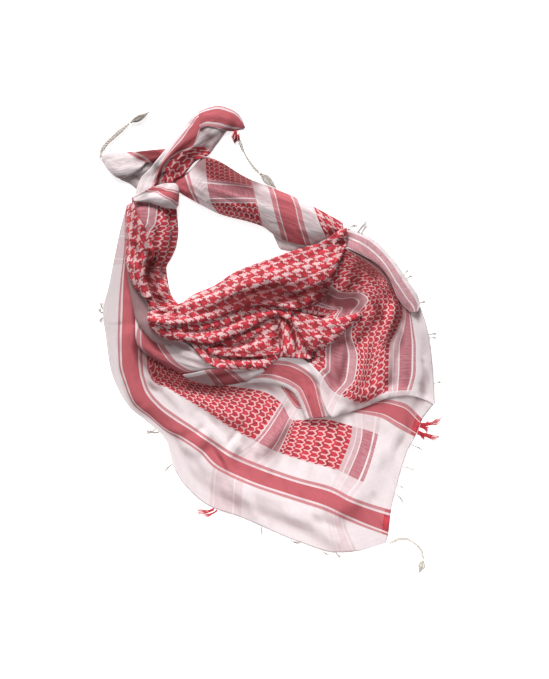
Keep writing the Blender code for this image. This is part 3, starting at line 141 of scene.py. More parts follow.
@dataclass(frozen=True)
class Ripple:
    """Even soft waves over a stretch: distance between crests in cm, height in mm, and bearing."""

    pitch: float
    height: float
    bearing: float


@dataclass(frozen=True)
class Strand:
    """One loose tuft: its place along the edge, its run from there in cm, its width in mm, and its dye."""

    place: float
    run: Point
    width: float
    red: bool = False


@dataclass(frozen=True)
class Fringe:
    """Loose threads beside an edge of a stretch."""

    name: str
    stretch: str
    along_side: bool
    low: float
    high: float
    red: bool
    strands: tuple[Strand, ...]


@dataclass(frozen=True)
class Tassel:
    """A plaited cord with a knotted tuft: route in cm with half widths in mm, bearing in degrees."""

    name: str
    route: tuple[tuple[float, float, float], ...]
    bearing: float
    knot: float
    threads: int


BOTH, FIRST, LAST, FLAT = Rounded.BOTH, Rounded.FIRST, Rounded.LAST, Rounded.FLAT


def pairs(numbers: Sequence[float]) -> tuple[Point, ...]:
    """Points, from their two parts in turn."""
    return tuple(zip(numbers[::2], numbers[1::2]))


def stretch(name: str, finish: Finish, across: tuple[float, ...], rounded: Rounded,
            *rows: tuple[float, ...]) -> Stretch:
    """A stretch, from its rows of numbers."""
    sections = tuple(Row(along, crown, pairs(plan)) for along, crown, *plan in rows)
    return Stretch(name, finish, across, rounded, sections)


def marks(*rows: tuple[float, ...]) -> tuple[Mark, ...]:
    """Marks, from rows of a place on the stretch and then places of the square, across and along."""
    return tuple(Mark(along, pairs(places)) for along, *places in rows)


def levels(*rows: tuple[float, ...]) -> tuple[Mark, ...]:
    """Marks straight across the square, from rows of a place, then its place along and places across."""
    return tuple(Mark(place, tuple((side, along) for side in across)) for place, along, *across in rows)


def creases(*rows: tuple[float, ...]) -> tuple[Crease, ...]:
    """Creases, from their rows of numbers."""
    return tuple(Crease(reach, height, pairs(plan), shade) for reach, height, shade, *plan in rows)


# Each row: place on the cloth in cm, puff in mm, then x and y in cm of the points that the comment names.
STRETCHES = (
    stretch(
        "arm_flap", Finish.PLAIN, (0, 4), FIRST,
        # lower edge, upper edge under the arm
        (0, 2, 1, 20.4, 0.2, 22),
        (2, 4, 2.2, 18.2, 2.4, 20.8),
        (4, 4, 4.6, 17.8, 4.6, 20),
        (7, 2, 7.4, 18.6, 7, 19.8),
    ),
    stretch(
        "lower_panel", Finish.WOVEN, (0, 7.6, 12.8, 16.4, 26, 29.2, 34.4, 37.6), FLAT,
        # hem, band A outside, band A inside, wave inside, wave outside, band B inside, outside, white edge
        (0, 0, 23.2, -40.6, 23.6, -39.2, 24.2, -34.1, 25, -30.6,
         27.4, -22.4, 29, -19.4, 30.4, -16, 32.8, -12.8),
        (4.5, 0, 19.8, -41.6, 19.2, -37.7, 20.2, -32.9, 21.6, -29.4,
         24.2, -20.8, 25.6, -17.6, 26.8, -12.8, 28.2, -10.6),
        (9, 0, 17.2, -42.3, 15, -36, 16.2, -31.4, 18.4, -28.4, 21.4, -19, 22, -15.5, 22.8, -12, 23.6, -9.8),
        (14.6, 0, 12.8, -42.5, 11.2, -34.3, 12.2, -29.4, 13.6, -26.2,
         16.4, -17.4, 16.2, -14.4, 16.8, -12.4, 17.4, -11),
        (20, 0, 5.2, -40.2, 4, -31.9, 5.6, -27.6, 7.6, -24.5,
         10.4, -16, 11.4, -13.8, 11.8, -12.2, 12.2, -10.8),
        (25.6, 0, -5.2, -35.7, -4.8, -28.8, -0.8, -25.4, 1.8, -22.6,
         4.6, -16.2, 6, -13.8, 6.6, -12.2, 7.2, -10.8),
        (31.2, 0, -12.2, -33.2, -11.4, -25.4, -7, -22.8, -3.2, -20.2,
         2.2, -12.8, 3.2, -11.2, 3.8, -10, 4.4, -8.8),
        (36, 0, -16, -30.2, -14, -22.7, -11.2, -20.2, -7.2, -18.1,
         -1.6, -10.6, -0.6, -9, -0.2, -7.8, 0.2, -6.6),
        (43, 0, -19, -26, -17.8, -20.1, -15.6, -17.2, -12.6, -14.5,
         -9, -9.3, -8.4, -7.6, -8.2, -6.4, -8, -5.2),
        (48, 0, -20.8, -20, -20.6, -18.5, -18.6, -15.2, -16.4, -12,
         -13.8, -8, -13.4, -6.4, -13.2, -5.2, -13, -4),
        (54, 0, -24.6, -16.3, -24.2, -15.5, -22.4, -12.2, -20.6, -9.2,
         -18.4, -6.3, -18, -4.8, -17.8, -3.8, -17.6, -2.8),
        (59, 0, -28, -13.5, -27.4, -12.8, -24.2, -9.1, -23.2, -7.4,
         -21.6, -4.8, -21.2, -3.4, -21, -2.4, -20.8, -1.4),
        (63, 0, -30.1, -10.3, -29, -9.2, -24.9, -6.4, -24.2, -5.4,
         -23, -3.4, -22.6, -2.4, -22.4, -1.6, -22.2, -0.8),
        (68, 0, -32, -5.4, -30.3, -4.8, -25.2, -3, -24.6, -2.6,
         -23.8, -1.8, -23.4, -1.2, -23.1, -0.7, -22.8, -0.2),
        (74, 0, -32.8, 0.4, -30.5, 0.6, -25.6, 1, -25, 1, -24.2, 1.1, -23.8, 1.2, -23.4, 1.3, -23, 1.4),
        (80, 0, -33.4, 5.4, -30.4, 6, -25.8, 6.4, -25.2, 6.5, -24.4, 6.6, -24, 6.6, -23.6, 6.6, -23.2, 6.6),
        (86, 0, -32.2, 11.2, -30, 11.6, -26.6, 11.8, -26, 11.8, -25.4, 11.9, -25, 12, -24.6, 12, -24.2, 12),
        (92, 0, -31, 17.2, -29.3, 17.2, -27.2, 17.2, -26.6, 17.2,
         -26.1, 17.2, -25.7, 17.2, -25.3, 17.2, -24.9, 17.2),
        (98, 0, -29.9, 22.4, -28.8, 22.4, -27.4, 22.4, -26.9, 22.4,
         -26.4, 22.4, -26, 22.4, -25.6, 22.4, -25.2, 22.4),
        (102, 0, -28.9, 26.2, -28.3, 26.2, -27.2, 26.2, -26.7, 26.2,
         -26.2, 26.2, -25.8, 26.2, -25.4, 26.2, -25, 26.2),
    ),
    stretch(
        "arch_fold", Finish.WOVEN, (28.2, 29.2, 34.4, 36.8), FIRST,
        # white below the band, band B inside, band B outside, white above it
        (24.5, 6, 7.2, -15.9, 7.9, -15.7, 11, -15.4, 12.4, -15),
        (28, 8, 6, -12.8, 6.7, -12.4, 10.1, -12.2, 11.4, -11.8),
        (31.2, 8, 4.8, -10.6, 5.4, -10.1, 9.1, -8.3, 9.9, -7.8),
        (34, 7, 3.2, -9.5, 3.7, -8.9, 7.2, -6.1, 8.2, -5),
        (38, 6, 1, -8.8, 1.4, -8, 3.8, -4.5, 4.8, -2.8),
        (42, 5, -1.6, -8.4, -1.2, -7.5, 1.2, -4.2, 2.8, -2),
        (46, 4, -4.6, -8.6, -4.2, -7.8, -2, -5.8, 0.4, -2.4),
    ),
    stretch(
        "right_panel", Finish.WOVEN, (35.8, 37.6, 42, 47, 52, 57, 60, 63, 66, 70, 75), FIRST,
        # pleat edge, wave edge, then up the panel to where it goes under the collar
        (0, 0, 33, -12.8, 32.9, -10.6, 32.6, -6.2, 32.2, -2, 31.6, 1.8,
         30.4, 5.8, 29, 8.4, 27.4, 11, 25.6, 13.4, 22.8, 16.8, 18, 20.2),
        (4.5, 1, 30.6, -11.8, 30.8, -10.4, 30.8, -6.2, 30.4, -1.8, 30, 1.8,
         29.2, 5.6, 28, 8, 26.6, 10.4, 24.8, 12.8, 22, 16, 17.4, 19.4),
        (9, 3, 27.6, -11, 28, -10.2, 29, -6, 29, -1.4, 28.6, 1.8,
         28, 5.4, 27, 7.8, 25.8, 10, 24, 12.2, 21.2, 15.2, 16.8, 18.6),
        (14.6, 5, 23.4, -11.6, 23.6, -10.6, 23.6, -6.2, 23.8, -1.2, 25.2, 2,
         26.4, 5.6, 25.8, 8, 24.6, 10.2, 23, 12.2, 20.2, 14.8, 15, 18.2),
        (20, 7, 18.2, -13.6, 18.2, -12.8, 19.2, -8, 20.2, -3.4, 21.2, 1.2,
         22.6, 5.6, 22.8, 8.4, 22, 10.8, 20.4, 12.8, 17.6, 14.4, 12.8, 16.4),
        (25.6, 7, 12.4, -15.2, 14, -11.6, 17, -7.8, 17.6, -3.4, 16.4, 1.2,
         17.8, 5.2, 19.8, 8, 17.8, 9.6, 15, 9.6, 12, 11.2, 9.6, 12.8),
        (28, 5, 10.8, -12.8, 12.2, -10.4, 14.2, -7.6, 14.6, -3, 14.2, 1.2,
         15.2, 5.2, 16.6, 7.2, 15.6, 7.8, 13.8, 7.6, 11, 8.6, 8.4, 10),
        (31.2, 3, 9.6, -8.6, 9.8, -6.8, 11.2, -5.2, 11.2, -2, 11.8, 1.2,
         12.8, 4.6, 13.6, 5.8, 13.4, 6.2, 12.2, 6.2, 10, 6.8, 7.2, 7.4),
        (34, 1, 8, -6.4, 7.8, -4.6, 9, -3.4, 9.2, -1, 9.8, 1.4,
         10.4, 4, 10.8, 4.6, 10.6, 4.8, 9.8, 4.8, 8.4, 5, 6, 5.2),
    ),
    stretch(
        "right_turnover", Finish.REVERSE, (5.5, 9, 10.2, 13.5), BOTH,
        # fold at the outline, band edge, white line, fringe edge laid on the panel
        (50, 1, 29.3, 5.6, 29, 5.5, 28.9, 5.45, 28.6, 5.4),
        (53, 1, 29.8, 7, 28.9, 6.7, 28.5, 6.6, 27.2, 6.3),
        (57, 4, 29.6, 8.4, 27.8, 8, 27.3, 8.2, 25.6, 8.2),
        (61, 5, 27.2, 12.2, 25.5, 11.6, 25, 11.6, 23.9, 12),
        (65, 5, 24.2, 16.4, 23.1, 15.4, 22.7, 15.3, 21.8, 14.8),
        (69, 5, 20.2, 20.2, 19.8, 18.8, 19.6, 18.4, 19, 16.6),
        (73, 4, 16.6, 21.8, 16.4, 20.6, 16.3, 20.2, 16.2, 18),
        (75, 3, 14.6, 22.4, 14.6, 21.2, 14.6, 20.8, 14.4, 18.8),
    ),
    stretch(
        "mid_fold", Finish.WOVEN, (26.5, 29.2, 34.4, 37.8), FIRST,
        # fold edge, band B outside, band B inside, white edge under the swirl
        (0, 6, -26.8, 4.4, -25.4, 3.6, -22, 3.6, -19.6, 3.6),
        (3, 9, -26.8, 1.6, -25.1, 1.2, -22, 0.8, -19.6, 0.4),
        (6, 10, -26.4, -1, -24.4, -1.2, -20.3, -1, -16.8, -0.6),
        (9, 10, -24.4, -2.8, -22.8, -3.1, -18.4, -3.1, -14.4, -2.4),
        (13, 9, -21, -4.9, -20.4, -4.7, -16.6, -4.8, -12.6, -4.2),
        (18, 7, -16.6, -6.7, -16.4, -6.5, -14, -5.9, -11, -5.4),
        (21, 4, -13.4, -6.9, -13.2, -6.6, -12.2, -6, -9, -5.2),
    ),
    stretch(
        "twist_fold", Finish.WOVEN, (0, 3.2), LAST,
        # upper edge under the swirl, lower fold
        (26, 1, -17.6, -6.9, -17.3, -7.3),
        (27.6, 5, -15.2, -6.5, -15, -8.3),
        (29.2, 9, -13, -6, -10.8, -9),
        (34.4, 9, -8.4, -5.4, -5, -8.3),
        (36.6, 7, -5, -4.8, -2.6, -7.2),
        (38.2, 4, -1.8, -4.6, -0.5, -5.8),
    ),
    stretch(
        "neck_fold", Finish.PLAIN, (0, 4.5), FIRST,
        # outer fold, inner side under the arm
        (0, 3, -28.8, 15.6, -26, 15.6),
        (4, 5, -28.3, 12, -25, 12),
        (8, 8, -27.6, 8, -23.6, 8),
        (12, 10, -26.7, 4.2, -22.4, 5.2),
        (15, 10, -25, 1.6, -20.8, 3.6),
        (18, 8, -22.8, -0.4, -18.8, 2),
        (20, 6, -20.8, -1, -17.2, 0.8),
        (22, 4, -18.8, -0.2, -16, 0.2),
    ),
    stretch(
        "right_arm", Finish.WOVEN, (22, 25.6, 31.2, 34), BOTH,
        # upper edge, stripe band's two sides, lower edge
        (102.4, 4, -20.4, 31.6, -20, 30.8, -19.2, 30, -18.6, 29.8),
        (97.2, 9, -16.3, 33.6, -15.8, 31.8, -15, 29.4, -14, 27.2),
        (93.6, 11, -13, 36.5, -12.6, 31.4, -11.8, 27.4, -10.4, 25.4),
        (84, 12, -4, 32.1, -3.6, 30.4, -2.8, 27.2, -1.6, 22.8),
        (80.8, 12, -0.6, 30.8, 0, 29, 0.8, 25.6, 2.4, 20.1),
        (75.6, 11, 5, 28.5, 5.8, 26.4, 6.6, 23, 8, 18.9),
        (72.4, 9, 8.4, 26.8, 9, 25, 10, 22.4, 11.2, 20.2),
        (67, 6, 14.6, 23.4, 14.6, 22.6, 14.4, 21.6, 14.2, 20.8),
    ),
    stretch(
        "left_arm_wave", Finish.WOVEN, (0, 1), BOTH,
        # left side under the other fold, right side
        (-1.2, 8, -27.8, 28.6, -18.9, 28.4),
        (3, 11, -26.6, 24.4, -18.6, 24.6),
        (6, 12, -25.4, 21.8, -18.4, 22),
        (9, 11, -24.4, 19.2, -18.7, 19.2),
        (12, 9, -24.6, 16.8, -19.7, 16.6),
        (14.5, 7, -25.2, 14.6, -20.8, 14.4),
        (17, 8, -25.4, 12.2, -20.5, 12),
        (20, 9, -25, 9.6, -19.9, 9.4),
        (22.5, 9, -24.4, 7.6, -18.8, 7.6),
        (24.5, 6, -24, 5.8, -17.6, 6.6),
    ),
    stretch(
        "left_arm_houndstooth", Finish.CHECK, (0, 1), BOTH,
        # left side, right side
        (0, 4, -28.6, 27, -27.2, 27.4),
        (3, 8, -28.8, 24.6, -26.4, 25),
        (6, 9, -28.8, 22, -24.8, 22.2),
        (9, 9, -28.7, 19, -23.5, 19.4),
        (12, 9, -28.6, 16, -22.9, 17),
        (14.5, 8, -28.2, 13.6, -24, 14.4),
        (17, 7, -27.4, 11.2, -24.4, 11.8),
        (19, 6, -26, 9.4, -24, 9.8),
        (20.5, 4, -24.8, 8.2, -23.4, 8.6),
    ),
    stretch(
        "swirl_low", Finish.CHECK, (0, 3), BOTH,
        # upper side under the middle fold, lower fold edge
        (0, 5, -12.6, 0.6, -16, -0.2),
        (2, 8, -12, -0.6, -14.6, -2),
        (4, 10, -11.4, -2, -12.8, -4.2),
        (7, 12, -9.2, -2, -9.6, -5.6),
        (10, 12, -6.4, -2.4, -6.4, -5.8),
        (13, 11, -3.6, -2.4, -3.2, -5.9),
        (16, 9, -1, -2.2, -0.6, -5.4),
        (19, 6, 1.8, -1.8, 2, -3.4),
    ),
    stretch(
        "swirl_middle", Finish.CHECK, (0, 3.6), BOTH,
        # upper side under the lip, lower fold edge
        (0, 4, -12.8, -0.6, -12, -2.6),
        (3, 8, -10, 0.6, -10, -3),
        (6, 10, -7, 1.8, -6.8, -3.3),
        (9, 11, -4, 3.4, -3.6, -3.3),
        (12, 10, -1.6, 4.8, -0.8, -3),
        (15, 6, 1.5, 5.4, 2.7, -2.4),
    ),
    stretch(
        "swirl_right", Finish.CHECK, (0, 5), BOTH,
        # left fold edge, right side under the right lip
        (0, 6, 0.8, 5.2, 5.4, 3.8),
        (2.2, 12, 1.6, 3, 6.8, 1.4),
        (4.6, 13, 1.8, 0.6, 8, -1),
        (6.8, 11, 1.9, -1.6, 8.4, -2.6),
        (8.4, 6, 2, -3.4, 8.2, -3.8),
    ),
    stretch(
        "right_lip", Finish.CHECK, (0, 5), BOTH,
        # upper side under the collar, lower fold edge
        (0, 6, 3.4, 6.4, 4.2, 3.8),
        (3, 11, 6, 5.6, 6.2, 0.6),
        (5.5, 13, 8.4, 4.8, 8.4, -2.3),
        (8, 13, 11, 4.3, 11, -1.5),
        (10.5, 11, 13.6, 4.4, 13.4, 0.3),
        (13, 8, 16, 5, 15.7, 2.6),
        (15.2, 4, 18, 5.5, 18.1, 4.9),
    ),
    stretch(
        "swirl_lip", Finish.CHECK, (0, 4.5), BOTH,
        # upper side under the collar, lower fold edge
        (0, 5, -24.3, 4, -23.6, 2.4),
        (2.5, 10, -22, 4, -21.8, 0.8),
        (6, 13, -18.4, 3.8, -18, -0.3),
        (11, 14, -13, 4.4, -13.2, -0.8),
        (15.5, 14, -8.8, 5.8, -9.2, -0.3),
        (19.5, 13, -5, 7.1, -5, 1.7),
        (23, 11, -1.6, 7.4, -1.6, 3.6),
        (26, 9, 1.6, 7.4, 1.2, 4.8),
        (29, 5, 4.4, 7, 4, 4),
    ),
    stretch(
        "collar_roll", Finish.CHECK, (0, 8), BOTH,
        # neck edge, lower fold edge
        (0, 5, -24.3, 5.4, -24.1, 3.6),
        (3, 11, -21, 6.5, -20.8, 2.8),
        (6.5, 15, -18, 7.2, -17.4, 3),
        (10, 17, -15.4, 9, -13, 3.7),
        (15, 19, -11.2, 10.8, -8.4, 5.2),
        (20, 20, -7, 13.6, -4, 6.5),
        (27, 21, -1, 15.9, 0.4, 6.7),
        (33, 21, 5, 17.9, 6, 6),
        (38.5, 19, 10.6, 19.6, 10.4, 8),
        (42, 16, 13.2, 21.4, 12.4, 11.8),
        (45, 11, 14.6, 22.1, 13.8, 15.6),
        (47, 6, 15.3, 22.3, 15.2, 18.8),
    ),
    stretch(
        "tail_left_back", Finish.PLAIN, (0, 2), LAST,
        # upper side under the front, lower edge
        (0, 1, -31.6, 34.4, -31.8, 33.8),
        (2, 3, -29.6, 33.6, -29.8, 32.1),
        (4.5, 5, -27.2, 33.8, -27.8, 31.2),
        (7, 6, -25.2, 34.8, -26.2, 29.8),
        (10, 6, -22.8, 36, -24.8, 28.8),
    ),
    stretch(
        "tail_left", Finish.WOVEN, (0, 1), BOTH,
        # upper edge, lower fold
        (0, 1, -33.7, 36.8, -33.6, 36),
        (1.6, 3, -32, 37.4, -32.2, 34),
        (3.6, 5, -30, 37.5, -29.8, 32.3),
        (5.6, 6, -28.6, 37.6, -26, 34),
        (7, 6, -27.4, 37.6, -24.6, 35.3),
        (10, 6, -24, 37.9, -23.4, 35.4),
        (13, 5, -20.8, 38.2, -22, 36),
    ),
    stretch(
        "tail_right", Finish.WOVEN, (4, 7.6, 12.6, 12.9, 18), BOTH,
        # outer edge, band outside, band inside, wave edge, inner edge
        (0, 4, -27, 28.3, -24.4, 29, -22.7, 29.6, -22.5, 29.6, -21.4, 29.6),
        (3, 7, -25.8, 32, -23.3, 31.4, -21.9, 32.7, -21.7, 32.7, -19.6, 31.6),
        (6.5, 8, -23.8, 34.2, -22.4, 34, -21.1, 34.8, -20.9, 34.8, -17.2, 33.1),
        (10.5, 8, -21.6, 37, -20.6, 36.8, -18.8, 37.2, -18.6, 37.2, -15, 35.7),
        (15, 8, -19.2, 40.3, -18.4, 40, -15.2, 38.8, -15, 38.7, -12.6, 36.8),
        (19.5, 7, -16.6, 43.3, -16, 43.1, -14.1, 41.6, -13.9, 41.5, -10.8, 39),
        (23.5, 5, -14.4, 45.4, -14.1, 45, -13.6, 42.7, -13.4, 42.6, -9, 41.4),
        (25, 2, -13.2, 45.4, -12.6, 45, -11.7, 44, -11.5, 44, -7.8, 42.8),
    ),
    stretch(
        "tail_right_end", Finish.WOVEN, (7, 13.2), BOTH,
        # outer edge, inner stripe
        (0, 3, -14.3, 45.5, -14, 42),
        (1.6, 5, -12.6, 46.3, -12.6, 42.6),
        (3.8, 6, -10.4, 46.8, -10.4, 42.2),
        (6.2, 6, -8, 46.2, -8.6, 41.8),
        (8, 5, -6.4, 45.2, -7.2, 41.8),
        (9.4, 3, -5.4, 43.6, -6, 42.1),
        (10.4, 1, -5, 42.5, -5.3, 42.2),
    ),
    stretch(
        "knot_wrap", Finish.WOVEN, (0, 1, 3), BOTH,
        # top edge, seam where it turns, lower edge
        (0, 3, -27.2, 28.4, -27.2, 28.2, -27, 27.6),
        (2.2, 7, -24.8, 29.6, -24.6, 29, -24.4, 27.4),
        (4.4, 10, -22.6, 30.6, -22.4, 29.5, -22.4, 26.8),
        (6.4, 11, -20.8, 31.2, -20.6, 29.6, -20.6, 26.3),
        (8.2, 9, -19, 31.2, -18.8, 29.8, -18.8, 26.2),
        (9.4, 4, -18.2, 30.4, -18.1, 29.7, -18.3, 27),
    ),
)

# Each row: the two ends in cm, the reach in cm and the height in mm.
RIDGES = {
    "lower_panel": (
        Ridge((-6.6, -19.2), (-9.4, -24.4), 1.2, 5),
        Ridge((-12.6, -17.6), (-14.4, -21.6), 1.2, 4),
        Ridge((4, -15), (-1.6, -22), 1.1, 5),
        Ridge((6, -34), (15, -41), 1.8, 4),
        Ridge((-8, -26), (-2, -36), 1.6, 3.5),
        Ridge((-28, -8), (-26, -13), 1.3, 5),
        Ridge((-28.6, 8), (-28.2, -7), 1.4, 5),
        Ridge((-16, -11), (-4, -17), 1.4, 3),
        Ridge((20, -18), (28, -28), 1.6, 3),
    ),
    "right_panel": (
        Ridge((25, 8), (23, 1), 1, 7),
        Ridge((17, -3), (16.4, -11), 1.2, 5),
        Ridge((21, 15), (24.4, 9), 1, 4),
        Ridge((15, 13), (17.5, 10), 0.9, 5),
        Ridge((22, -3), (21, -11), 1.2, 4),
        Ridge((31, -4), (29.6, -9), 1.2, 3),
    ),
}

# Where the cloth's own places differ from a stretch's own sections. Each row of levels: place on the stretch,
# then the square's place along it and places across it. Each row of marks: place, then across and along.
MARKS = {
    "lower_panel": levels(
        (0, 0, 0, 7.6, 12.8, 16.4, 26, 29.2, 34.4, 37.6),
        (30, 30, 0, 7.6, 12.8, 16.4, 26, 29.2, 34.4, 37.6),
        (34, 34, 0, 7.6, 12.8, 16.4, 26, 27.4, 28.4, 29),
        (43, 43, 0, 7.6, 12.8, 16.4, 26, 27.4, 28.4, 29),
        (48, 48, 0, 7.6, 12.8, 16.6, 25, 26, 27, 28),
        (54, 54, 0, 7.6, 12.8, 17, 23.5, 24.5, 25, 25.8),
        (59, 58.6, 0, 7.6, 13.4, 19, 21.6, 22, 22.5, 23),
        (61.5, 60.4, 0, 7.6, 13.5, 18.8, 20.6, 21, 21.4, 21.8),
        (63, 61.4, 0, 7.6, 13.7, 18.8, 20.4, 20.8, 21.2, 21.6),
        (68, 64.8, 0, 7.6, 13.6, 17.8, 19.2, 19.6, 20, 20.4),
        (74, 69, 0, 7.6, 13, 13.6, 14.4, 14.8, 15.2, 15.6),
        (98, 84, 0, 7.6, 12.8, 14, 15, 15.4, 15.8, 16.2),
    ),
    "right_panel": levels(
        (0, 0, 35.8, 72.2),
        (34, 34, 35.8, 72.2),
    ),
    "mid_fold": levels(
        (0, 35, 28.2, 37.8),
        (10, 45, 30.2, 37.8),
        (21, 56, 31.2, 37.8),
    ),
    "twist_fold": marks(
        (26, 26, 40, 26, 43.2),
        (38.2, 38.2, 40, 38.2, 43.2),
    ),
    "right_turnover": marks(
        (50, 50, 8.3, 50, 9.5, 50, 9.8, 50, 12.6),
        (75, 72.2, 8.3, 72.2, 9.5, 72.2, 9.8, 72.2, 12.6),
    ),
    "right_arm": marks(
        (67, 67, 38, 67, 39.8, 67, 42.6, 67, 44),
        (72.2, 72.2, 38, 72.2, 39.8, 72.2, 42.6, 72.2, 44),
        (72.6, 72.6, 17, 72.6, 27, 72.6, 31.2, 72.6, 36.8),
        (102.4, 102.4, 17, 102.4, 27, 102.4, 31.2, 102.4, 36.8),
    ),
    "left_arm_wave": marks(
        (-1.2, 40, 30.6, 40, 22.6),
        (1.5, 42.6, 30.1, 42.6, 22.3),
        (4.5, 45, 28.9, 45, 21.5),
        (6.3, 46.8, 27.3, 46.8, 20.4),
        (9, 49.6, 25.8, 49.6, 20.3),
        (14.8, 55, 26, 55, 20.5),
        (15.4, 55.6, 37, 55.6, 32),
        (24.5, 65.4, 40, 65.4, 34),
    ),
    "tail_left": marks(
        (0, 0, 4, 0.6, 8),
        (3.6, 6.6, 4, 3.6, 8),
        (5.6, 7.9, 4, 6.4, 8),
        (7, 8.6, 4, 7.9, 8),
        (10, 10.2, 4, 8.9, 8),
        (13, 11.2, 4, 10.6, 8),
    ),
    "tail_right": levels(
        (0, 25.4, 2, 7, 11.9, 16.3, 17.4),
        (3, 22.4, 3.6, 7.6, 11.9, 16.4, 18.6),
        (6.5, 20, 4.8, 7.7, 11.9, 16.4, 20.4),
        (10.5, 17.4, 5.2, 7.8, 11.9, 16.4, 20.4),
        (15, 15.2, 5, 7.4, 11.9, 16.5, 19.4),
        (17.2, 14.4, 5.2, 7.3, 12, 15, 17.8),
        (19.5, 12.4, 5.4, 7.2, 12.1, 12.9, 16.2),
        (23.5, 7, 6.6, 7.6, 12.2, 12.9, 16.2),
    ),
    "tail_right_end": levels(
        (0, 7, 7.9, 13),
        (10.4, 1.4, 7.9, 13),
    ),
    "knot_wrap": levels(
        (0, 20, 6.4, 6.2, 4.5),
        (2.2, 20.6, 7.6, 7.4, 3.4),
        (4.4, 21.2, 13.4, 8.5, 3.4),
        (6.4, 21.8, 15.8, 11.8, 3.4),
        (8.2, 22.4, 16.2, 13, 6.6),
        (9.4, 22.8, 16.2, 13.2, 8),
    ),
}

# Bearing of the houndstooth's threads in the plan, in degrees.
CHECK_TURN = {
    "left_arm_houndstooth": 78, "swirl_low": -6, "swirl_middle": 24, "swirl_right": -58, "right_lip": 14,
    "swirl_lip": 10, "collar_roll": 20,
}
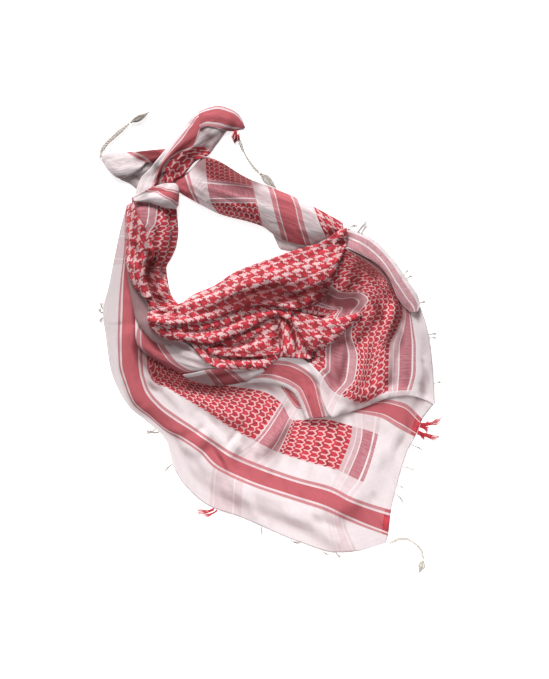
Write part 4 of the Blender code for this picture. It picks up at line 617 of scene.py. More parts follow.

# Each row: reach in cm, height in mm, painted shade (below 0 is painted light, 0 follows the height), then
# its plan in cm.
CREASES = {
    "lower_panel": creases(
        (1.5, -0.6, 1.5, -26, 4.6, -24.4, -1, -23, -4, -20.8, -6.6, -17, -7.8, -10, -9.8),
        (2, -0.4, 1.5, -26.4, 1, -24.8, -2.8, -23, -5.2, -20.6, -7.2, -17, -9.2),
        (0.6, -0.4, 0.8, -24.6, -8.2, -23.2, -9.6, -22, -10),
        (1.1, -0.6, 0.5, -26.4, 12, -25.6, 6, -25, 1),
        (2.2, -0.2, 0.3, -14, -13.4, -8, -17, -3, -20.6, 4, -24),
        (1, -0.4, 0.45, -8, -10, -3, -9, 0, -9.6, 3, -13),
        (0.5, -2.2, 0, -11.2, -21.6, -9.6, -24, -8.4, -26.4),
        (0.4, -1.2, 0, -33.2, 3.4, -30.6, 3.2, -28.6, 3.6),
        (0.9, -3, 0, -25.2, -2.4, -22.6, -7, -20.6, -9),
        (0.7, 2, 0, -23.6, -4.8, -20.6, -9.8, -16.6, -14),
        (0.8, 2.4, 0, -14, -15, -10, -19.6, -7.4, -23.6),
        (0.7, -2, 0, -6, -16.6, -8.4, -20.8, -9.6, -24.4),
        (0.7, 1, 0, 2, -14.6, -2.4, -20.8, -5, -25.6),
        (0.9, -0.9, 0, 4, -18.8, 1.6, -23.4, -1, -28.6),
        (1, 0.9, 0, 10, -17.4, 7, -25, 4, -33),
        (1.4, -0.4, 0, 16, -20, 12.4, -27, 9, -35),
        (1.6, 0.4, 0, 22.4, -20.4, 18, -29, 13, -38),
        (0.6, -1.6, 0, 7.8, -15.8, 10.4, -15.6, 12.8, -15, 16, -14.2, 19.8, -12.8, 23, -11.4, 27, -10.4),
        (0.5, 3, 0, 22.2, -35.4, 23.6, -36.8),
        (2.2, 0, -0.6, 26.4, -20, 24, -24.4, 20.6, -31),
    ),
    "right_panel": creases(
        (0.8, -1.5, 0.9, 16.4, 18, 19, 16, 22, 14.4, 24, 11.8, 25.2, 8, 26.2, 4.4, 24.4, 1, 23.4, -1.4),
        (1.1, -2, 1.2, 23, 13, 20.4, 13.4, 18.4, 15.6, 17, 13.4, 15.6, 11),
        (2, -0.3, 0.7, 13.6, 19, 16, 15, 17, 12, 16, 9.6),
        (2.4, -0.2, 0.45, 17, 16.6, 21.4, 13.4, 24, 8.6, 24, 3),
        (1, -2, 1, 21.6, 8, 21.4, 5, 19.6, 2.4, 18, 0.6, 17, -1),
        (1.7, -1, 1.3, 11.4, 9, 14.4, 7.8, 17.8, 6.6),
        (0.7, -1, 0.5, 13, -1, 15.6, 0, 16.4, -1.8),
        (1.2, -1, 0.45, 13, -11.6, 18, -12.6, 23, -10.6),
        (0.9, -3.6, 0, 18.4, 15.6, 17, 12, 15, 9.6),
        (0.8, -2.8, 0, 20.4, 8, 22.4, 4.6, 22.8, 2),
        (0.8, 3, 0, 25, 8, 24, 5, 23, 2, 22, -2),
        (0.7, -2.2, 0, 26.4, 1, 24.6, -5, 23.4, -10),
        (0.7, 2.4, 0, 19.6, 2, 18.4, -5, 17.4, -10.6),
        (0.6, -2, 0, 15.6, 3, 15, -3, 14, -8.6),
        (0.9, 0.8, 0, 30, 2, 29.4, -4, 28, -10),
    ),
    "arch_fold": creases(
        (1.2, 0.2, -0.8, 1, -3.6, 4, -3.8, 6.6, -5.4, 8.6, -8.4),
        (1.6, 0.2, -0.5, -4, -7.6, 0.6, -6.6, 4.6, -7.6, 7.4, -12),
        (0.5, 1.8, 0, 10, -15, 8.4, -10.6, 5, -7, 2, -5),
        (0.5, -1.4, 0, 8.8, -15.2, 7.4, -10.6, 4, -8, 0.6, -6.8),
    ),
    "mid_fold": creases(
        (1.4, 0.2, -0.6, -11, -5.6, -5, -6, 0.6, -4.6, 4.6, -7.6, 7.4, -12),
        (0.8, -0.4, 0.9, -25, 2.2, -22.4, 0.6, -19.6, -0.6, -16.6, -1.6, -13, -3.4),
        (0.6, -2, 0, -24.6, 2.6, -22.4, -1.6, -17.6, -3.6, -12.6, -5),
        (0.5, 1.6, 0, -21, 2.6, -19.2, -1, -15.6, -2.8),
    ),
    "twist_fold": creases(
        (1.1, -0.4, 0.7, -18.4, -7, -14.6, -7.2, -11, -7.4),
        (0.9, -0.4, 0.8, -14.6, -8.6, -8, -9, -3, -7.6),
        (0.5, -2, 0, -15, -6.6, -11, -7, -6, -6.4, -2.4, -5.6),
    ),
    "neck_fold": creases(
        (1.9, -0.6, 1.6, -28, 14, -27, 8.6, -26, 4.6, -24, 1.4, -20.6, -0.4),
        (1, -0.3, 1.2, -25.6, 4, -23.4, 1.6, -21, 0.2, -18, -0.8),
        (0.5, -1.6, 0, -26.4, 10, -25.2, 6, -23.2, 2.6, -20.2, 0.6),
    ),
    "right_arm": creases(
        (1.6, 0.4, -0.7, 3.4, 26, 5, 22, 6, 19),
        (2.4, -0.4, 1.8, -17, 36, -13, 34.6, -9, 33.2, -5, 31.8, -1, 30.4),
        (0.9, -0.8, 0.6, -14.6, 35.6, -9, 34, -2, 31.2),
        (0.7, -2.4, 0, -16, 32.8, -9.6, 31.4, -2, 28.4, 4, 26.4, 11, 23),
        (0.6, 1.8, 0, -17.4, 31.2, -9.6, 29.4, -2, 26.4, 5, 24.4),
        (1.8, 0.3, -0.9, -19, 31, -16.4, 29, -12, 27.8, -6, 25),
        (0.5, -1.8, 0, -12, 27.4, -4, 25, 3, 22.6),
    ),
    "left_arm_wave": creases(
        (1.2, -1.6, 1.5, -22.8, 17.4, -23, 14, -23.6, 10.4, -23.8, 8),
        (0.7, -3.2, 0, -22.4, 26, -22.6, 21, -22, 17.4),
        (0.5, 1.8, 0, -20.6, 26, -20.8, 21, -21.2, 16.6),
        (0.8, -4, 0, -21, 13, -22.8, 10.4, -23.4, 8),
        (0.6, 2.2, 0, -20.4, 11.4, -20.8, 9, -20, 7.2),
    ),
    "left_arm_houndstooth": creases(
        (0.8, -0.6, 0.7, -27.6, 27.4, -26.6, 23, -25, 20.4),
        (1, -0.6, 1.2, -23.4, 17.4, -24.4, 14, -24.8, 11),
        (0.6, -2, 0, -27.4, 24, -27, 20, -26.4, 16, -25.8, 12.4),
        (0.5, 1.8, 0, -26, 21, -25.2, 17, -25.2, 13),
    ),
    "swirl_low": creases(
        (0.5, -2.4, 0, -12.4, -2.6, -8, -3.6, -3, -3.8, 0.4, -3.4),
    ),
    "swirl_middle": creases(
        (0.7, -0.4, 1.1, -12, -1.6, -8, -2.4, -3, -2.6, 0.6, -1.8, 1.4, 2, 0.8, 4.6),
        (0.6, -3, 0.8, -11, -1.8, -7, -1.4, -3.2, 0.2, -1, 1.6),
        (0.5, -0.4, 0.9, -12.8, -1.4, -9, 0.4, -4, 2.4, -0.4, 4.4),
        (0.5, 2, 0, -9, -2, -5, -1.6, -1.6, -0.6, 0.4, 0.8),
        (0.5, -2.4, 0, -6.4, 1.2, -3, 2.6, -1, 4),
    ),
    "swirl_right": creases(
        (0.7, -0.3, 1.4, 1, 5, 1.9, 2, 2, -3.4),
        (0.5, -3, 0.8, 2.6, 4.4, 4.2, 2.2, 5, -0.6, 5.4, -3),
        (0.5, 2, 0, 4, 4, 5.8, 1.8, 6.6, -1),
        (0.4, -2, 0, 6.4, 1.6, 7.6, -0.8),
    ),
    "right_lip": creases(
        (0.6, -2.6, 0, 4.6, 5, 7.4, 3.2, 11, 1.6, 14.6, 3),
        (0.5, 2, 0, 6.2, 3, 8.8, 0.8, 12, 0.2),
    ),
    "swirl_lip": creases(
        (0.7, -0.4, 0.6, -20, -0.2, -14, -0.4, -9, 0.2, -4.6, 2.8, -1, 4.6),
        (0.7, -3, 0, -22, 2.4, -17, 1.2, -12, 1.8, -8, 2.8, -4.6, 5, 0, 6),
        (0.6, 2.2, 0, -19, 0.8, -13, 0.4, -9.2, 1.4, -5.2, 3.4),
    ),
    "collar_roll": creases(
        (1.8, -0.6, 1.1, -14, 5, -6, 7.4, 0, 8.6, 5, 9, 9.6, 10, 12.4, 13.6),
        (2, -0.3, 0.5, -12, 7, 1, 9, 6, 8, 10, 9.6),
        (1.1, -3.4, 0, -19, 4.4, -12.6, 6.2, -6, 9, 0, 10.4, 6, 11.4),
        (0.9, -3, 0, -10, 9.6, -4, 12.6, 3, 14.6, 9, 16.8),
        (0.9, 2.4, 0, -14, 6.8, -7, 10.6, 0, 12.6, 8, 14.4),
        (0.8, -3.6, 0, 2, 8.4, 6, 8.6, 9.6, 10.6),
        (0.8, -2.4, 0, 11.4, 19.6, 12.2, 15.4, 11.6, 12.6),
    ),
    "tail_left": creases(
        (1.7, -0.4, 1.9, -27.4, 37.6, -24.6, 36.8, -21, 36.8),
        (0.5, -1.4, 0, -31, 36.6, -28.4, 35.2, -25, 36),
    ),
    "tail_left_back": creases(
        (0.5, -1.6, 0, -27.6, 32.6, -25.6, 31.8, -24, 31.6),
    ),
    "tail_right": creases(
        (0.7, -0.4, 1.3, -22, 33.4, -20.6, 35.6, -18.2, 38, -15.8, 39.6, -14.4, 41, -13.6, 42),
        (0.6, -0.4, 0.7, -20.6, 31, -17.6, 32.8, -15.2, 35.4, -13.4, 37),
        (0.6, -2.6, 0, -22.6, 31.6, -20.4, 34.8, -17.4, 37.6, -14.8, 39.8),
        (0.5, 1.8, 0, -23.6, 31, -21.6, 34.6, -18.6, 38.4, -15.4, 42),
        (0.7, -1.4, 0, -16.6, 36, -13.4, 38.6, -11.4, 41.2),
    ),
    "tail_right_end": creases(
        (0.5, -1, 0, -12, 43, -9.6, 43.4, -7.2, 42.8),
    ),
    "knot_wrap": creases(
        (0.4, -1.2, 0.9, -25.6, 28.8, -22.4, 29.6, -20.2, 29.4, -18.4, 30.2),
        (0.9, -0.4, 0.8, -22, 30.8, -20, 31),
        (1.2, 0.2, -1, -25.6, 28, -22, 28.2, -18.4, 27),
    ),
}

# Each row: distance between crests in cm, height in mm and bearing in degrees.
RIPPLES = {
    "lower_panel": (Ripple(5.2, 0.3, 40), Ripple(2.1, 0.15, 25)),
    "right_panel": (Ripple(3.4, 0.7, 5), Ripple(1.7, 0.25, 14)),
    "arch_fold": (Ripple(1.9, 0.4, 50),),
    "right_turnover": (Ripple(3, 0.4, 120),),
    "mid_fold": (Ripple(1.8, 0.5, 60),),
    "twist_fold": (Ripple(1.6, 0.4, 85),),
    "neck_fold": (Ripple(1.8, 0.5, 15),),
    "right_arm": (Ripple(1.5, 0.7, 62), Ripple(3.1, 0.5, 75)),
    "left_arm_wave": (Ripple(1.5, 0.8, 8), Ripple(2.6, 0.5, -30)),
    "left_arm_houndstooth": (Ripple(1.4, 0.7, 0), Ripple(2.4, 0.5, 50)),
    "swirl_low": (Ripple(1.3, 0.6, 85),),
    "swirl_middle": (Ripple(1.4, 0.7, 110),),
    "swirl_right": (Ripple(1.3, 0.7, 20),),
    "right_lip": (Ripple(1.5, 0.6, 100),),
    "swirl_lip": (Ripple(1.6, 0.6, 95),),
    "collar_roll": (Ripple(2, 0.7, 115), Ripple(4.1, 0.8, 100)),
    "tail_left": (Ripple(1.6, 0.4, 80),),
    "tail_left_back": (Ripple(1.5, 0.4, 60),),
    "tail_right": (Ripple(1.5, 0.6, 130),),
    "tail_right_end": (Ripple(1.8, 0.4, 80),),
    "knot_wrap": (Ripple(1.1, 0.5, 95),),
    "arm_flap": (Ripple(1.4, 0.4, 60),),
}

TASSELS = (
    Tassel("left", ((-34, 36.3, 1.8), (-33.8, 37.5, 3), (-33.2, 38.6, 4.4), (-32.5, 39.5, 4.2),
                    (-31.4, 40.5, 4.4), (-30.2, 41.6, 4.8), (-29, 42.6, 3.2), (-28.1, 43.4, 2.2)),
           28, 3.6, 64),
    Tassel("right", ((-6.2, 41.4, 1.8), (-6.2, 40.5, 2), (-5.9, 39.3, 3.8), (-5.6, 38.4, 3.2),
                     (-5.1, 37.4, 1.8), (-4.3, 36, 2.4), (-3.1, 34.4, 2.8), (-2.2, 33.5, 2.4)),
           -42, 4, 56),
    Tassel("corner", ((23.7, -40.7, 1.8), (24.8, -40.2, 3.2), (26, -39.7, 3.4), (27.2, -39.7, 3),
                      (28.4, -40.3, 2.6), (29.6, -41.2, 2.8), (30.3, -42.2, 2.6), (30.7, -43.8, 1.8)),
           -108, 3.6, 36),
)
RED_TUFT = Tassel("red", (), -94, 4, 60)

FRINGES = (
    Fringe("fringe_turnover", "right_turnover", True, 50.5, 74.5, False,
           (Strand(54.2, (1.2, 0.3), 2.2), Strand(61, (1.1, 0.7), 2.2), Strand(61.8, (0.9, 1), 1.6),
            Strand(71.2, (1.2, 1.6), 2.2), Strand(71.9, (1.7, 2), 3), Strand(74, (1.9, 0.6), 1.9))),
    Fringe("fringe_right", "right_panel", False, 37, 52, False,
           (Strand(51, (1.4, 0.3), 2.2), Strand(50.4, (1.3, -0.3), 1.9), Strand(39.4, (1.2, 0.4), 1.9))),
    Fringe("fringe_band", "lower_panel", False, 29.6, 34, True,
           (Strand(33.2, (1.4, -0.2), 8), Strand(33.2, (3.7, 1), 5), Strand(32.6, (1.6, -0.6), 5),
            Strand(30.4, (1.6, -0.7), 7), Strand(30.4, (3.7, -0.9), 5), Strand(31, (2.6, -1.2), 4))),
    Fringe("fringe_corner", "lower_panel", False, 14, 28.6, False,
           (Strand(27.6, (2.4, -1), 1.9), Strand(22.6, (2.3, -0.4), 1.9), Strand(18.2, (1.2, -0.6), 1.9),
            Strand(16.2, (1.4, -1.6), 2.2))),
    Fringe("fringe_hem", "lower_panel", True, 10, 31, False,
           (Strand(14.2, (0.9, -0.7), 2.7), Strand(16.4, (1.4, -0.7), 1.9), Strand(20.6, (2, -0.5), 1.9),
            Strand(23.6, (0.3, -1.8), 2.2), Strand(29.6, (-2.6, -0.9), 3.6, True),
            Strand(30.2, (-3, -0.2), 5, True))),
    Fringe("fringe_fold", "lower_panel", True, 43, 53, False,
           (Strand(44.2, (-1.4, -1.6), 2.2), Strand(50.4, (-2.4, 0.6), 2.7),
            Strand(51.4, (-2, -0.8), 2.2))),
    Fringe("fringe_left", "lower_panel", True, 77, 84, False,
           (Strand(79, (-0.4, -1), 2.7), Strand(80, (-0.6, 0.9), 3.5), Strand(81, (-0.2, 1.2), 2.7))),
)
# ---------------------------------------------------------------- curves through the sections

ROLL_SHARE = 0.45           # share of a fold's width that a single rolled edge takes
ROLL_POWER = 2.2            # how full a rolled edge is
RIM_SHARES = (0.04, 0.14, 0.3, 0.55)


def smooth_slopes(knots: Grid, values: Grid) -> Grid:
    """Slopes that keep a curve through values free of overshoot.

    Args:
        knots: Places of the values, rising.
        values: One value at each place.

    Returns:
        One slope at each place.
    """
    steps = np.diff(knots)
    rates = np.diff(values) / steps
    slopes = np.zeros(len(values))
    slopes[0], slopes[-1] = rates[0], rates[-1]
    for i in range(1, len(values) - 1):
        if rates[i - 1] * rates[i] > 0.0:
            before = 2.0 * steps[i] + steps[i - 1]
            after = steps[i] + 2.0 * steps[i - 1]
            slopes[i] = (before + after) / (before / rates[i - 1] + after / rates[i])
    return slopes


def smooth_at(knots: Sequence[float], values: Sequence[float], wanted: Grid) -> Grid:
    """Read the smooth curve through values.

    Args:
        knots: Places of the values, rising.
        values: One value at each place.
        wanted: Places to read at.

    Returns:
        One value at each wanted place.
    """
    knots = np.asarray(knots, dtype=float)
    values = np.asarray(values, dtype=float)
    slopes = smooth_slopes(knots, values)
    spans = np.clip(np.searchsorted(knots, wanted, side="right") - 1, 0, len(knots) - 2)
    width = knots[spans + 1] - knots[spans]
    t = (wanted - knots[spans]) / width
    start = (1.0 + 2.0 * t) * (1.0 - t) ** 2 * values[spans]
    end = t * t * (3.0 - 2.0 * t) * values[spans + 1]
    leave = t * (1.0 - t) ** 2 * width * slopes[spans]
    arrive = t * t * (t - 1.0) * width * slopes[spans + 1]
    return start + end + leave + arrive


def smooth_rows(knots: Sequence[float], table: Grid, wanted: Grid) -> Grid:
    """Read the smooth curves down each column of a table."""
    return np.stack([smooth_at(knots, table[:, column], wanted) for column in range(table.shape[1])], axis=1)


def places_between(knots: Sequence[float], lengths: Sequence[float], cell: float) -> Grid:
    """Places from the first knot to the last, about one cell apart and one on each knot.

    Args:
        knots: Rising places.
        lengths: Length in cm of each span between them.
        cell: Distance wanted, in cm.

    Returns:
        The places.
    """
    places = [knots[0]]
    for low, high, length in zip(knots[:-1], knots[1:], lengths):
        count = max(1, round(length / cell))
        places.extend(low + (high - low) * (i + 1) / count for i in range(count))
    return np.array(places)


def crown_shape(share: Grid, rounded: Rounded) -> Grid:
    """Height of a fold across its width, from 0 at a rolled edge to 1.

    Args:
        share: Share of the width at each point.
        rounded: The edges that are rolled under.

    Returns:
        One height for each share.
    """
    if rounded is FLAT:
        return np.zeros_like(share)
    if rounded is BOTH:
        offset = np.abs(2.0 * share - 1.0)
    else:
        inward = share if rounded is FIRST else 1.0 - share
        offset = 1.0 - np.minimum(inward / ROLL_SHARE, 1.0)
    return np.sqrt(np.maximum(0.0, 1.0 - offset ** ROLL_POWER))


def shifted(grid: Grid) -> list[Grid]:
    """A grid and its copies moved by one cell each way."""
    wide = np.pad(grid, 1, mode="edge")
    return [wide[1:-1, 1:-1], wide[:-2, 1:-1], wide[2:, 1:-1], wide[1:-1, :-2], wide[1:-1, 2:]]


def eased(grid: Grid, rounds: int) -> Grid:
    """Soften a grid of values by its own neighbours.

    Args:
        grid: Rows by columns.
        rounds: How many times each point is averaged.

    Returns:
        The softened grid.
    """
    for _ in range(rounds):
        middle, *beside = shifted(grid)
        grid = sum(beside, middle * 2.0) / 6.0
    return grid


def run_length(line: Grid) -> Grid:
    """Length along a line up to each of its points."""
    return np.concatenate([[0.0], np.linalg.norm(np.diff(line, axis=0), axis=1).cumsum()])


def distance_to_line(plan: Grid, points: Sequence[Point]) -> tuple[Grid, Grid]:
    """Distance of plan points from a line of straight runs.

    Args:
        plan: Plan points in cm, with x and y on the last axis.
        points: The line's points.

    Returns:
        Each point's distance in cm, and its place along the line from 0 to 1.
    """
    best = np.full(plan.shape[:-1], np.inf)
    place = np.zeros(plan.shape[:-1])
    line = np.array(points, dtype=float)
    lengths = np.linalg.norm(np.diff(line, axis=0), axis=1)
    done = 0.0
    for start, end, length in zip(line[:-1], line[1:], lengths):
        run = end - start
        share = np.clip(((plan - start) @ run) / (run @ run), 0.0, 1.0)
        distance = np.linalg.norm(plan - start - share[..., None] * run, axis=-1)
        nearer = distance < best
        best = np.where(nearer, distance, best)
        place = np.where(nearer, (done + share * length) / lengths.sum(), place)
        done += length
    return best, place


# ---------------------------------------------------------------- what lies below

NEAR_SHELTER = (-0.1, 0.5, 0.4)    # cm, where to look for a fold that shades a point, and how far round there
FAR_SHELTER = (-0.3, 1.5, 1.1)
NEAR_DEPTH = 5.0 * MM              # how much higher the cloth there is when its shade is full
FAR_DEPTH = 11.0 * MM
CLOTH_STEPS = 4                    # points laid on the map along each side of a cloth's cell


class HeightMap:
    """Height of what has been laid so far, over the plan."""

    def __init__(self) -> None:
        """Start with the bare surface."""
        self.top = np.zeros([int(round((high - low) / MAP_CELL)) for low, high in zip(MAP_LOW, MAP_HIGH)])

    def cell_of(self, place: Grid, kept: int) -> Grid:
        """Whole cells of places, kept on the map with some cells to spare."""
        return np.clip(place.astype(int), 0, np.array(self.top.shape) - kept)

    def spread(self, points: Grid) -> None:
        """Raise the map to world points in metres."""
        cell = self.cell_of((points[:, :2] / CM - np.array(MAP_LOW)) / MAP_CELL, 1)
        np.maximum.at(self.top, (cell[:, 0], cell[:, 1]), points[:, 2])

    def add_triangles(self, corners: Grid) -> None:
        """Add a solid.

        Args:
            corners: Its triangles, as triangle by corner by axis, in metres.
        """
        side = np.linalg.norm(corners[:, 1] - corners[:, 0], axis=1).max() / CM
        steps = int(min(90, max(6, math.ceil(side / MAP_CELL * 1.3))))
        for i in range(steps + 1):
            for j in range(steps + 1 - i):
                a, b = i / steps, j / steps
                self.spread(corners[:, 0] * (1 - a - b) + corners[:, 1] * a + corners[:, 2] * b)

    def add_cloth(self, points: Grid) -> None:
        """Add the upper face of a laid stretch.

        Args:
            points: Its net, rows by columns by axis, in metres.
        """
        for i in range(CLOTH_STEPS):
            for j in range(CLOTH_STEPS):
                a, b = i / CLOTH_STEPS, j / CLOTH_STEPS
                spot = (points[:-1, :-1] * (1 - a) * (1 - b) + points[1:, :-1] * a * (1 - b)
                        + points[:-1, 1:] * (1 - a) * b + points[1:, 1:] * a * b)
                self.spread(spot.reshape(-1, 3))

    def support(self, plan: Grid, reach: int = 2) -> Grid:
        """Height of what cloth or thread would lie on.

        Args:
            plan: World plan points in metres.
            reach: Cells by which it bridges an edge.

        Returns:
            One height in metres for each point.
        """
        bridged = self.top
        for _ in range(reach):
            bridged = np.maximum.reduce(shifted(bridged))
        bridged = eased(bridged, 1)
        place = (plan / CM - np.array(MAP_LOW)) / MAP_CELL - 0.5
        cell = self.cell_of(np.floor(place), 2)
        part = place - cell
        x, y = cell[..., 0], cell[..., 1]
        near = bridged[x, y] * (1 - part[..., 1]) + bridged[x, y + 1] * part[..., 1]
        far = bridged[x + 1, y] * (1 - part[..., 1]) + bridged[x + 1, y + 1] * part[..., 1]
        return near * (1 - part[..., 0]) + far * part[..., 0]

    def mean_above(self, plan: Grid, shelter: tuple[float, float, float]) -> Grid:
        """Mean height of what is laid near a place.

        Args:
            plan: World plan points in metres.
            shelter: How far to the side and towards the knot to look, and how far round there, in cm.

        Returns:
            One height in metres for each point.
        """
        cells = int(shelter[2] / MAP_CELL)
        wide = np.pad(self.top, cells, mode="edge").cumsum(axis=0).cumsum(axis=1)
        wide = np.pad(wide, ((1, 0), (1, 0)))
        side = 2 * cells + 1
        total = wide[side:, side:] - wide[:-side, side:] - wide[side:, :-side] + wide[:-side, :-side]
        mean = total / side ** 2
        cell = self.cell_of((plan / CM + np.array(shelter[:2]) - np.array(MAP_LOW)) / MAP_CELL, 1)
        return mean[cell[..., 0], cell[..., 1]]


def node_triangles(name: str) -> Grid:
    """Triangles of a solid of the frame.

    Args:
        name: The solid's node.

    Returns:
        Triangle by corner by axis, in metres.
    """
    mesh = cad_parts[name].data
    mesh.calc_loop_triangles()
    points = np.empty(len(mesh.vertices) * 3)
    mesh.vertices.foreach_get("co", points)
    index = np.empty(len(mesh.loop_triangles) * 3, dtype=np.int32)
    mesh.loop_triangles.foreach_get("vertices", index)
    return points.reshape(-1, 3)[index].reshape(-1, 3, 3)


def node_tree(name: str) -> BVHTree:
    """Make a search tree of a solid of the frame.

    Args:
        name: The solid's node.

    Returns:
        The tree.
    """
    corners = node_triangles(name)
    faces = [(3 * i, 3 * i + 1, 3 * i + 2) for i in range(len(corners))]
    return BVHTree.FromPolygons([Vector(point) for point in corners.reshape(-1, 3)], faces)


def face_height(tree: BVHTree, spot: Sequence[float], from_below: bool) -> float:
    """Height of a solid's upper or lower face.

    Args:
        tree: The solid's search tree.
        spot: World plan point in metres.
        from_below: Whether the lower face is wanted.

    Returns:
        The height in metres, taken from the nearest face where the point is beside the solid.
    """
    start = Vector((spot[0], spot[1], -0.1 if from_below else 0.3))
    way = Vector((0.0, 0.0, 1.0 if from_below else -1.0))
    hit = tree.ray_cast(start, way)[0]
    if hit is None:
        hit = tree.find_nearest(Vector((spot[0], spot[1], 0.01)))[0]
        hit = tree.find_nearest(Vector((spot[0], spot[1], hit.z)))[0]
    return hit.z


def linked(name: str, data: bpy.types.ID) -> bpy.types.Object:
    """Put a new object in the scene.

    Args:
        name: Its name.
        data: Its mesh, light or camera.

    Returns:
        The object.
    """
    obj = bpy.data.objects.new(name, data)
    bpy.context.scene.collection.objects.link(obj)
    return obj


# ---------------------------------------------------------------- one stretch of cloth

MANY_COLUMNS = 6            # a stretch with more columns than this is a panel
FEWEST_CELLS = 4            # across a stretch with two columns
RIPPLE_BEND = 0.6
GATHER = 2.9                # cm of cloth from one small gather to the next
GATHER_TAKES = 0.55         # cm of cloth that each one takes up
GATHER_SLIP = 0.5           # cm that the threads shift along it


@dataclass
class Net:
    """A stretch's places and points."""

    along: Grid
    across: Grid
    plan: Grid
    lift: Grid


def ridge_lift(ridge: Ridge, plan: Grid) -> Grid:
    """Lift in mm that a ridge of the solid gives to plan points.

    Args:
        ridge: The ridge.
        plan: Plan points in cm.

    Returns:
        One lift for each point.
    """
    distance, share = distance_to_line(plan, (ridge.start, ridge.end))
    fade = np.sin(np.pi * np.clip(share, 0.06, 0.94)) ** 0.5
    return ridge.height * fade * np.exp(-(distance / ridge.reach) ** 2)


def rim_places(places: Grid, rounded: Rounded) -> Grid:
    """Add places beside the rolled edges, where the cloth turns fastest.

    Args:
        places: Rising places across a stretch.
        rounded: The edges that are rolled under.

    Returns:
        All the places, rising.
    """
    more = list(places)
    for share in RIM_SHARES:
        if rounded in (BOTH, FIRST):
            more.append(places[0] + share * (places[1] - places[0]))
        if rounded in (BOTH, LAST):
            more.append(places[-1] - share * (places[-1] - places[-2]))
    return np.array(sorted(more))


def net_of(laid: Stretch, solid: bool) -> Net:
    """Lay out a stretch's net.

    Args:
        laid: The stretch.
        solid: Whether the net of its solid is wanted, and not the finer one of the cloth.

    Returns:
        The net, with its plan in cm and its lift in mm.
    """
    rows = sorted(laid.rows, key=lambda row: row.along)
    along, points, crowns = (np.array([getattr(row, part) for row in rows], dtype=float)
                             for part in ("along", "points", "crown"))
    across = np.array(laid.across, dtype=float)
    row_steps = np.linalg.norm(np.diff(points, axis=0), axis=2)
    column_steps = np.linalg.norm(np.diff(points, axis=1), axis=2)
    cell = FINE_CELL
    if solid:
        cell = PANEL_CELL if laid.rounded is FLAT or len(across) > MANY_COLUMNS else FOLD_CELL
    row_places = places_between(along, row_steps.mean(axis=1), cell)
    if len(across) == 2:
        count = max(FEWEST_CELLS, round(column_steps.max() / cell))
        column_places = np.linspace(across[0], across[1], count + 1)
    else:
        column_places = places_between(across, np.percentile(column_steps, 75, axis=0), cell)
    if not solid:
        column_places = rim_places(column_places, laid.rounded)
    on_rows = [smooth_rows(along, points[:, :, axis], row_places) for axis in range(2)]
    plan = np.stack([smooth_rows(across, table.T, column_places).T for table in on_rows], axis=2)
    reach = reach_across(plan)
    share = reach / reach[:, -1:]
    lift = smooth_at(along, crowns, row_places)[:, None] * crown_shape(share, laid.rounded)
    for ridge in RIDGES.get(laid.name, ()):
        lift = lift + ridge_lift(ridge, plan)
    return Net(row_places, column_places, plan, lift)


def world_plan(plan: Grid) -> Grid:
    """World plan points in metres of plan points in cm from the drafting point."""
    return (plan + np.array(PLAN_SHIFT)) * CM


def laid_support(laid: Stretch, fine: Net) -> Grid:
    """Height of what a stretch lies on, from its solid's lower face without its own puff.

    Args:
        laid: The stretch.
        fine: The cloth's net.

    Returns:
        One height in metres for each point of the net.
    """
    coarse = net_of(laid, solid=True)
    tree = node_tree(laid.name)
    spots = world_plan(coarse.plan)
    inner = spots + (spots.mean(axis=(0, 1)) - spots) * 1e-4
    under = np.array([[face_height(tree, spot, from_below=True) for spot in row] for row in inner])
    base = under - coarse.lift * MM
    return smooth_rows(coarse.across, smooth_rows(coarse.along, base, fine.along).T, fine.across).T


def creased(name: str, plan: Grid, fading: float, weight: Callable[[Crease], float]) -> Grid:
    """Sum of a stretch's creases at plan points.

    Args:
        name: The stretch.
        plan: Plan points in cm.
        fading: How gently a crease fades at its ends.
        weight: What a crease gives along its middle.

    Returns:
        One sum for each point.
    """
    total = np.zeros(plan.shape[:-1])
    for crease in CREASES.get(name, ()):
        distance, share = distance_to_line(plan, crease.points)
        fade = np.sin(np.pi * np.clip(share, 0.04, 0.96)) ** fading
        total += weight(crease) * fade * np.exp(-(distance / crease.reach) ** 2)
    return total


def crease_lift(name: str, plan: Grid) -> Grid:
    """Height in mm that a stretch's creases and ripples give to plan points.

    Args:
        name: The stretch.
        plan: Plan points in cm.

    Returns:
        One height for each point.
    """
    lift = creased(name, plan, 0.6, lambda crease: crease.height)
    for index, ripple in enumerate(RIPPLES.get(name, ())):
        turn = math.radians(ripple.bearing)
        phase = (plan[..., 0] * math.cos(turn) + plan[..., 1] * math.sin(turn)) / ripple.pitch * math.tau
        beside = (plan[..., 1] * math.cos(turn) - plan[..., 0] * math.sin(turn)) / ripple.pitch
        drift = RIPPLE_BEND * np.sin(beside * 0.9 + 1.3 * index)
        drift = drift + 0.8 * RIPPLE_BEND * np.sin(beside * 0.37 + 0.6)
        swell = 0.55 + 0.45 * np.sin(beside * 0.53 + phase * 0.21 + 2.1 * index)
        lift += ripple.height * swell * np.sin(phase + drift * 2.2)
    return lift


def crease_shade(name: str, plan: Grid) -> Grid:
    """How much painted shade a stretch's creases give plan points, below 0 painted light."""
    return creased(name, plan, 0.5, lambda crease: crease.shade or -0.12 * crease.height)


def reach_across(points: Grid) -> Grid:
    """Distance of each point of a net from its first column, along its row."""
    steps = np.linalg.norm(np.diff(points, axis=1), axis=2)
    return np.concatenate([np.zeros((len(points), 1)), steps.cumsum(axis=1)], axis=1)


